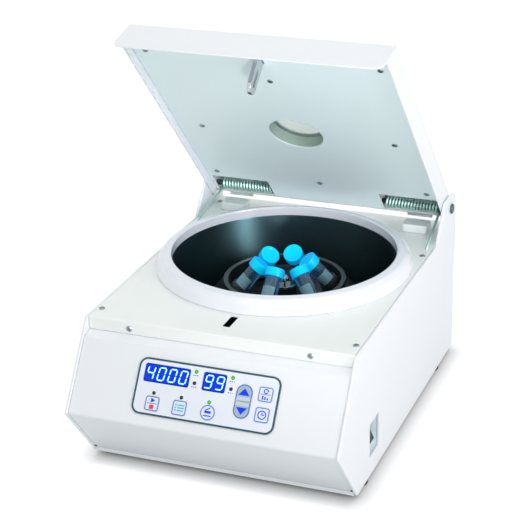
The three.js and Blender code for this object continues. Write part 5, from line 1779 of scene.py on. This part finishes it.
# The small lamps across and up the face, in millimetres, and whether each is lit
lamps = [(-13.5, 60.7, True), (-13.3, 49.6, False), (24, 60.4, True), (24, 49.5, False), (-52.1, 34.3, False),
         (-23.5, 34.1, False), (5.1, 34, True)]
lamp_radius = 1.7 * MM
lamp_rim_shares = (0.8, 1.1)
lamp_rim_high = 0.1 * MM

# A lamp's dome, as shares of its radius and heights in millimetres
lamp_dome = ((0, -0.1), (0.85, -0.1), (0.8, 0.15), (0.55, 0.4), (0.25, 0.52), (0, 0.55))

# The ticks beside four lamps: their place in millimetres and the last one's ink
tick_rows = ((-13.5, 57, "ink_blue"), (-13.3, 45.9, "ink_blue"), (24, 56.7, "ink_cyan"),
             (24, 45.8, "ink_cyan"))
tick_pitch = 2
tick_width = 1.2 * MM
tick_height = 0.9 * MM
tick_thickness = 0.05 * MM


def indicator_lamps():
    """The seven small lamps in the film, each a low dome in a dark rim; a lit lamp's rim is tinted green as
    painted light from the lamp.
    """
    parts = []
    near, far = (lamp_radius * share for share in lamp_rim_shares)
    for x, s, on in lamps:
        place = Matrix.Translation((x * MM, s * MM, film_high))
        rim = turned(looped(box_corners(near, far, -lamp_rim_high, lamp_rim_high)), BOSS_SIDES)
        dome = turned([(lamp_radius * share, height * MM) for share, height in lamp_dome], BOSS_SIDES)
        # Lit lamps get the green rim: painted light from the lamp
        parts.append(settle(painted(shaded(rim), "lamp_rim_painted_glow" if on else "lamp_dark"), place))
        painted(shaded(dome, ROUND_ANGLE), "lamp_green" if on else "lamp_dark")
        parts.append(settle(dome, place))
    return grouped(*parts)


def printed_marks():
    """Short plain ticks under the lamps beside the displays."""
    parts = []
    for x, s, last_ink in tick_rows:
        for k, ink in ((-1, "ink_blue"), (0, "ink_blue"), (1, last_ink)):
            tick = bar((x + k * tick_pitch) * MM, s * MM, tick_width, tick_height)
            parts.append(mark(tick, ink, film_high, tick_thickness))
    return grouped(*parts)


# Rocker switch in its pocket

rocker_length = 11 * MM
rocker_half = 9 * MM
rocker_pivot_x = half_width - pocket_depth - 1 * MM
rocker_tilt = math.radians(12)
rocker_edge = 0.5 * MM
rocker_arc_steps = 6
seat_half = 9.3 * MM
seat_margin = 2.5 * MM
seat_corner = 1 * MM
pocket_edge = 0.4 * MM

# The rocker's side, as its place along and out from the pivot and its corner, in millimetres
rocker_profile = ((-11, 9.3, 1), (-11, 2.5, 1), (-7.5, -2.5, 1), (7.5, -2.5, 1), (11, 2.5, 1), (11, 9.3, 1),
                  (0, 5.9, 20))
on_sign = (Vector((-7.2, 6.2, -0.4)) * MM, Vector((-4, 7.1, 0.4)) * MM)
off_sign_place = Vector((5.6, 6.48, 0)) * MM
off_sign_radii = (1.1 * MM, 1.7 * MM)
off_sign_height = 0.5 * MM


def switch_frame():
    outer = inner_half_width - gap
    floor = half_width - pocket_depth
    back = floor - pocket_wall
    box = sideways(pocket_outline(pocket_wall), back, outer)
    hole = sideways(pocket_outline(), floor, half_width)
    outline = centred_box(pocket_y, pocket_z, 2 * seat_half, 2 * (rocker_length + seat_margin), seat_corner)
    seat = sideways(outline, back - sheet, half_width)
    # The pocket's finish glows faintly: painted light that lifts the shade inside it
    return painted(eased(cut(box, hole, seat), pocket_edge, 2), "pocket_painted_glow")


def rocker():
    outline = rounded(in_metres(rocker_profile), rocker_arc_steps)
    body = painted(eased(flat(outline, -rocker_half, rocker_half), rocker_edge, 3), "black_plastic")
    on = painted(slab(*on_sign), "legend_white")
    off = turned(looped(box_corners(*off_sign_radii, 0, off_sign_height)), BOSS_SIDES)
    settle(off, Matrix.Translation(off_sign_place) @ Matrix.Rotation(-QUARTER, 4, "X"))
    body = grouped(body, on, painted(off, "legend_white"))
    stand = Matrix(((0, 1, 0, 0), (0, 0, 1, 0), (1, 0, 0, 0), (0, 0, 0, 1)))
    return settle(body, Matrix.Translation((rocker_pivot_x, pocket_y, pocket_z))
                  @ Matrix.Rotation(-rocker_tilt, 4, "Y") @ stand)


# Settings

def colour_setting(name, description, code):
    return FloatVectorProperty(name=name, description=description, size=3, min=0, max=1, subtype="COLOR",
                               default=shade(code)[:3])


def length_setting(name, description, value, least, most):
    return FloatProperty(name=name, description=description, default=value * MM, min=least * MM,
                         max=most * MM, unit="LENGTH")


def power_setting(name, description, watts):
    return FloatProperty(name=name, description=description, default=watts, min=0.0, unit="POWER")


class CaseSettings(bpy.types.PropertyGroup):
    panel_colour: colour_setting("Panel colour", "Sprayed colour of the case and lid", 0xF1F3F8)
    deck_colour: colour_setting("Deck colour", "Sprayed colour of the deck", 0xF7F9F7)
    liner_colour: colour_setting("Liner colour", "Moulded colour of the lid's liner", 0xE3F1F4)
    edge_radius: length_setting("Edge radius", "Rounding of the side panels' edges", 1.0, 0.1, 1.4)
    sheet_edge: length_setting("Sheet edge", "Rounding of the thin sheets' edges", 0.35, 0.05, 0.6)


class BowlSettings(bpy.types.PropertyGroup):
    ring_colour: colour_setting("Ring colour", "Glossy plastic round the bowl's mouth", 0xECEEF6)
    bowl_colour: colour_setting("Bowl colour", "Satin black of the bowl", 0x4C646B)
    cap_colour: colour_setting("Cap colour", "Caps of the sample tubes", 0x00DEFF)
    # Painted shade on the caps' sides, where they are seen at a slant
    cap_slant_shade: colour_setting("Cap slant shade", "Painted shade of the caps where they are seen at a slant", 0x006CE6)
    tube_radius: length_setting("Tube radius", "Outer radius of a sample tube", 8.2, 7.5, 8.4)


class ControlSettings(bpy.types.PropertyGroup):
    film_colour: colour_setting("Film colour", "Face of the control film", 0xEDF1FB)
    edge_colour: colour_setting("Edge colour", "Line printed round the control film", 0x184A5A)
    ink_colour: colour_setting("Ink colour", "Arrows and marks on the keys", 0x0A46F0)
    display_colour: colour_setting("Display colour", "Lit field of the two displays", 0x0042FC)


class LidSettings(bpy.types.PropertyGroup):
    turn_steps: IntProperty(name="Steps in a turn", description="How many steps one turn of a spring takes",
                            default=28, min=12, max=64)


class StageSettings(bpy.types.PropertyGroup):
    key_power: power_setting("Key light", "Power of the large light at the right", 11.9)
    top_power: power_setting("Top light", "Power of the light overhead", 5.0)
    lid_power: power_setting("Lid light", "Power of the narrow light on the open lid", 28.0)
    glint_power: power_setting("Bowl glint", "Power of the strip mirrored in the bowl's wall", 28.0)
    sky_colour: colour_setting("Sky colour", "Tint of the light from all round", 0xFBFFFD)
    sky_strength: FloatProperty(name="Sky", description="Light from all round", default=0.76, min=0.0)
    floor_glow: FloatProperty(name="Floor glow", description="How far the open floor is lifted towards white",
                              default=0.86, min=0.0, max=1.0)


# Operators

class CENTRIFUGE_OT_finishes(bpy.types.Operator):
    """Makes the shader groups and finishes, and dresses the frame's inner pieces"""
    bl_idname = "centrifuge.finishes"
    bl_label = "Finishes"

    def execute(self, context):
        scene = context.scene
        build_finishes(scene.centrifuge_case, scene.centrifuge_controls, scene.centrifuge_bowl)
        dressed = {
            "deck_paint": ["base_tray"], "board_green": ["main_board", "control_board"],
            "aluminium": ["motor_plate"], "motor_paint": ["motor", "latch_solenoid"],
            "zinc": ["shaft_bearing", "drive_shaft", "latch_bracket", "latch_bolt"],
            "rubber": ["vibration_mount_1", "vibration_mount_2", "vibration_mount_3"],
        }
        for name, nodes in dressed.items():
            for node in nodes:
                for slot in frame["nodes"][node].material_slots:
                    slot.material = finish[name]
        return {"FINISHED"}


# The screws' radius and height, and the turn of the first one's cross
corner_screw = (1.5 * MM, 0.7 * MM)
corner_twist = 0.4
deck_screw = (3.1 * MM, 1.2 * MM)
deck_twist = 0.5
flange_screw = (3 * MM, 1.3 * MM)
flange_twist = 0.3
rear_screw = (2.7 * MM, 1.1 * MM)
rear_twist = 0.4
rear_screw_inset = 8 * MM
rear_screw_heights = (12 * MM, deck_z - 9 * MM)
liner_screw = (3.1 * MM, 1.2 * MM)
liner_twist_step = 0.6


class CENTRIFUGE_OT_case(bpy.types.Operator):
    """Models the sheet-metal case with its feet, screws and stop blocks"""
    bl_idname = "centrifuge.case"
    bl_label = "Case"

    def execute(self, context):
        case = context.scene.centrifuge_case
        for side, place in ((-1, "left"), (1, "right")):
            hand_over(side_panel(side, case.edge_radius), f"case_side_{place}", "case",
                      [f"side_panel_{place}"])
            hand_over(stop_block(f"stop_block_{place}"), f"lid_stop_{place}", "case",
                      [f"stop_block_{place}"])
        hand_over(front_panel(case.sheet_edge), "case_front", "case", ["front_panel"])
        hand_over(front_lip(case.sheet_edge), "front_lip", "case")
        corner = lower_face(corner_screw_z)
        lean = math.atan2(lower_in.x, -lower_in.y)
        spots = [turned_place(x, corner.x, corner.y, lean, corner_twist)
                 for x in (-corner_screw_x, corner_screw_x)]
        add_screws(spots, corner_screw, "dark_screw", "corner_screws")
        hand_over(top_cover(case.sheet_edge), "case_deck", "case", ["top_cover"])
        hand_over(rear_panel(case.sheet_edge), "case_rear", "case", ["rear_panel"])
        hand_over(power_inlet(), "mains_inlet", "case", ["power_inlet"])
        for node in ("foot_front_left", "foot_front_right", "foot_rear_left", "foot_rear_right"):
            low, high = reach(node)
            middle = (low + high) / 2
            outward = math.copysign(foot_shift, middle.x)
            hand_over(foot(middle.x + outward, middle.y), f"rubber_{node}", "case", [node])
        spots = [turned_place(x, y, deck_z, 0, deck_twist + i) for i, (x, y) in enumerate(deck_screws)]
        add_screws(spots, deck_screw, "screw_steel", "deck_screws")
        spots = [turned_place(x, deck_flange_y, flange_screw_z, QUARTER, flange_twist + x)
                 for x in (-flange_screw_x, flange_screw_x)]
        add_screws(spots, flange_screw, "screw_steel", "flange_screws")
        spots = [turned_place(x * (sheet_half_width - rear_screw_inset), deck_rear_y, z, -QUARTER,
                              rear_twist + x + z) for x in (-1, 0, 1) for z in rear_screw_heights]
        add_screws(spots, rear_screw, "screw_steel", "rear_screws")
        return {"FINISHED"}


class CENTRIFUGE_OT_bowl(bpy.types.Operator):
    """Models the bowl, its ring, the rotor with its nut, and the tubes with their caps"""
    bl_idname = "centrifuge.bowl"
    bl_label = "Bowl and rotor"

    def execute(self, context):
        hand_over(bowl_ring(), "mouth_ring", "case", ["bowl_ring"])
        hand_over(bowl(), "spin_bowl", "case", ["bowl"])
        hand_over(rotor(), "angle_rotor", "rotor_unit", ["rotor"])
        hand_over(rotor_nut(), "dome_nut", "rotor_unit", ["rotor_nut"])
        first_tube = sample_tube(context.scene.centrifuge_bowl.tube_radius)
        first_cap = cap()
        for i in range(tube_count):
            twist = Matrix.Rotation(math.radians(patch_turns[i]), 4, "Z")
            body = "sample_tube" if i == 1 else "rotor_unit"
            tube = copied(first_tube, tube_place(i) @ twist)
            hand_over(tube, f"plastic_tube_{i + 1}", body, [f"tube_{i + 1}"])
            lid = copied(first_cap, tube_place(i))
            hand_over(lid, f"screw_cap_{i + 1}", body, [f"cap_{i + 1}"])
        bpy.data.objects.remove(first_tube)
        bpy.data.objects.remove(first_cap)
        return {"FINISHED"}


class CENTRIFUGE_OT_lid(bpy.types.Operator):
    """Models the lid with its liner, window, latch tongue, hinge rod and springs"""
    bl_idname = "centrifuge.lid"
    bl_label = "Lid"

    def execute(self, context):
        case = context.scene.centrifuge_case
        steps = context.scene.centrifuge_lid.turn_steps
        hand_over(lid_shell(case.sheet_edge), "lid_cover", "lid", ["lid_shell"], lid_place)
        hand_over(lid_liner(case.sheet_edge), "lid_inner", "lid", ["lid_liner"], lid_place)
        hand_over(lid_window(), "view_window", "lid", ["lid_window"], lid_place)
        hand_over(latch_tongue(), "latch_hook", "lid", ["latch_tongue"], lid_place)
        spots = [turned_place(x * MM, -u * MM, liner_low, math.pi, liner_twist_step * i)
                 for i, (x, u) in enumerate(liner_screws)]
        add_screws(spots, liner_screw, "screw_steel", "liner_screws", "lid", lid_place)
        hand_over(hinge_rod(), "pivot_rod", "case", ["hinge_rod"])
        for side, place in ((-1, "left"), (1, "right")):
            spring = lid_spring(side, steps)
            settle(spring, case_place)
            spring.name = f"torsion_spring_{place}"
            spring.data.name = spring.name
            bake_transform(spring)
            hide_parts(f"lid_spring_{place}")
        return {"FINISHED"}


class CENTRIFUGE_OT_controls(bpy.types.Operator):
    """Models the control film, displays, keys, lamps and the rocker switch"""
    bl_idname = "centrifuge.controls"
    bl_label = "Controls"

    def execute(self, context):
        hand_over(control_overlay(), "control_film", "case", ["control_overlay"], face_place)
        hand_over(indicator_lamps(), "indicator_lamps", "case", place=face_place)
        hand_over(printed_marks(), "printed_marks", "case", place=face_place)
        for node in displays:
            hand_over(display(node), f"lit_{node}", "case", [node], face_place)
        bodies = frame["record"]["behaviour"]["bodies"]
        for node in keys:
            body = next(name for name, members in bodies.items() if node in members)
            hand_over(key(node), f"film_{node}", body, [node], face_place)
        hand_over(switch_frame(), "switch_pocket", "case", ["switch_frame"])
        hand_over(rocker(), "rocker_cap", "rocker_button", ["rocker"])
        return {"FINISHED"}


# The photograph's camera: its directions, its place from the rotor's axis, and its lens
view_yaw = math.radians(21.528)
view_pitch = math.radians(23.234)
view_roll = math.radians(1.362)
view_point = Vector((0.559294, -1.486884, 0.834813))
view_near = 0.05
view_far = 50.0
image_side = 520
focal_pixels = 1654.975
sensor = 36.0

# The area lights: place, aim, size and colour, in metres
area_lights = {
    "key_light": ((1.9, -0.95, 0.62), (0, 0, 0.2), (0.8, 0.8), (1, 0.93, 0.99)),
    "top_light": ((-0.1, -0.6, 2.0), (0, 0, 0.15), (1.2, 1.2), (1, 1, 1)),
    "bowl_glint": ((1.15, -0.58, 0.55), (-0.08, 0.09, 0.14), (0.25, 0.4), (0.88, 1, 1)),
}
lid_light_place = (0.62, -1.22, 0.32)
lid_light_aim = (0.03, 0.09, 0.32)
lid_light_cone = math.radians(18)
lid_light_blend = 0.35
lid_light_radius = 0.12
floor_size = 12.0
floor_open_distance = 20 * MM


def view_matrix():
    ahead = Vector((-math.sin(view_yaw) * math.cos(view_pitch), math.cos(view_yaw) * math.cos(view_pitch),
                    -math.sin(view_pitch)))
    right = Vector((math.cos(view_yaw), math.sin(view_yaw), 0))
    low = ahead.cross(right)
    across = right * math.cos(view_roll) + low * math.sin(view_roll)
    downward = low * math.cos(view_roll) - right * math.sin(view_roll)
    turn = Matrix((across, -downward, -ahead)).transposed()
    return Matrix.Translation(view_point + Vector((0, datum.y, datum.z))) @ turn.to_4x4()


def aimed_light(name, kind, place, aim, power):
    bpy.ops.object.light_add(type=kind, location=place)
    lamp = bpy.context.object
    lamp.name = name
    lamp.rotation_euler = (Vector(aim) - Vector(place)).to_track_quat("-Z", "Y").to_euler()
    lamp.data.energy = power
    return lamp


def area_light(name, power):
    place, aim, size, colour = area_lights[name]
    lamp = aimed_light(name, "AREA", place, aim, power)
    lamp.data.shape = "RECTANGLE"
    lamp.data.size, lamp.data.size_y = size
    lamp.data.color = colour
    return lamp


def lid_light(power):
    """A narrow soft light that reaches under the open lid from the front."""
    lamp = aimed_light("lid_light", "SPOT", lid_light_place, lid_light_aim, power)
    lamp.data.spot_size = lid_light_cone
    lamp.data.spot_blend = lid_light_blend
    lamp.data.shadow_soft_size = lid_light_radius


def seen_directly(tree):
    """One for what the camera, a mirror or a pane shows, and zero for light that falls on things."""
    path = tree.nodes.new("ShaderNodeLightPath")
    seen = maths(tree, "MAXIMUM", path.outputs["Is Camera Ray"], path.outputs["Is Glossy Ray"])
    return maths(tree, "MAXIMUM", seen, path.outputs["Is Transmission Ray"])


def floor_material(glow):
    """Pale floor with a faint grain, lifted to white where it is seen and lies open, its shadow kept."""
    tree, shader = new_material("floor_white", Roughness=0.9, Specular_IOR_Level=0.0)
    seen = seen_directly(tree)
    grain = placed_group(tree, "surface_grain", Tone=0.01, Size=200.0)
    linked(tree, blended(tree, seen, shade(0xDCE1DF), shade(0x828284)), grain.inputs["Colour"])
    linked(tree, grain.outputs["Colour"], shader.inputs["Base Color"])
    openness = tree.nodes.new("ShaderNodeAmbientOcclusion")
    openness.inputs["Distance"].default_value = floor_open_distance
    shader.inputs["Emission Color"].default_value = (1, 1, 1, 1)
    lift = maths(tree, "MULTIPLY", openness.outputs["AO"], glow)
    linked(tree, maths(tree, "MULTIPLY", seen, lift), shader.inputs["Emission Strength"])


def studio_sky(settings):
    """Even light from all round, seen as plain white."""
    world = bpy.data.worlds.new("studio_sky")
    bpy.context.scene.world = world
    world.use_nodes = True
    tree = world.node_tree
    sky = tree.nodes["Background"]
    seen = seen_directly(tree)
    linked(tree, blended(tree, seen, opaque(settings.sky_colour), (1, 1, 1, 1)), sky.inputs["Color"])
    strength = maths(tree, "MULTIPLY_ADD", seen, 1.0 - settings.sky_strength, settings.sky_strength)
    linked(tree, strength, sky.inputs["Strength"])


def photo_camera():
    bpy.ops.object.camera_add()
    camera = bpy.context.object
    camera.name = "photo_camera"
    camera.matrix_world = view_matrix()
    camera.data.sensor_width = sensor
    camera.data.lens = sensor * focal_pixels / image_side
    camera.data.clip_start = view_near
    camera.data.clip_end = view_far
    bpy.context.scene.camera = camera


class CENTRIFUGE_OT_stage(bpy.types.Operator):
    """Sets up the floor, the soft light, the sky and the camera"""
    bl_idname = "centrifuge.stage"
    bl_label = "Stage"

    def execute(self, context):
        settings = context.scene.centrifuge_stage
        floor = single(bpy.ops.mesh.primitive_plane_add, size=floor_size, location=(0, 0, 0))
        floor.name = "studio_floor"
        floor_material(settings.floor_glow)
        painted(floor, "floor_white")
        area_light("key_light", settings.key_power)
        area_light("top_light", settings.top_power)
        glint = area_light("bowl_glint", settings.glint_power)
        glint.visible_diffuse = False
        lid_light(settings.lid_power)
        studio_sky(settings)
        photo_camera()
        context.scene.view_settings.view_transform = "Standard"
        return {"FINISHED"}


class CENTRIFUGE_PT_panel(bpy.types.Panel):
    bl_idname = "CENTRIFUGE_PT_panel"
    bl_label = "Centrifuge"
    bl_space_type = "VIEW_3D"
    bl_region_type = "UI"
    bl_category = "Centrifuge"

    def draw(self, context):
        for operator in operators:
            self.layout.operator(operator.bl_idname)
        for group in setting_groups:
            settings = getattr(context.scene, group)
            for name in settings.bl_rna.properties.keys():
                if name not in ("rna_type", "name"):
                    self.layout.prop(settings, name)


operators = [CENTRIFUGE_OT_finishes, CENTRIFUGE_OT_case, CENTRIFUGE_OT_bowl, CENTRIFUGE_OT_lid,
             CENTRIFUGE_OT_controls, CENTRIFUGE_OT_stage]
setting_groups = {
    "centrifuge_case": CaseSettings, "centrifuge_bowl": BowlSettings, "centrifuge_controls": ControlSettings,
    "centrifuge_lid": LidSettings, "centrifuge_stage": StageSettings,
}


def register():
    for group in setting_groups.values():
        bpy.utils.register_class(group)
    for operator in operators:
        bpy.utils.register_class(operator)
    bpy.utils.register_class(CENTRIFUGE_PT_panel)
    for name, group in setting_groups.items():
        setattr(bpy.types.Scene, name, PointerProperty(type=group))


def unregister():
    for name in setting_groups:
        delattr(bpy.types.Scene, name)
    for made in (CENTRIFUGE_PT_panel, *operators, *setting_groups.values()):
        bpy.utils.unregister_class(made)


def main():
    register()
    bpy.ops.centrifuge.finishes()
    bpy.ops.centrifuge.case()
    bpy.ops.centrifuge.bowl()
    bpy.ops.centrifuge.lid()
    bpy.ops.centrifuge.controls()
    bpy.ops.centrifuge.stage()


if __name__ == "__main__":
    main()
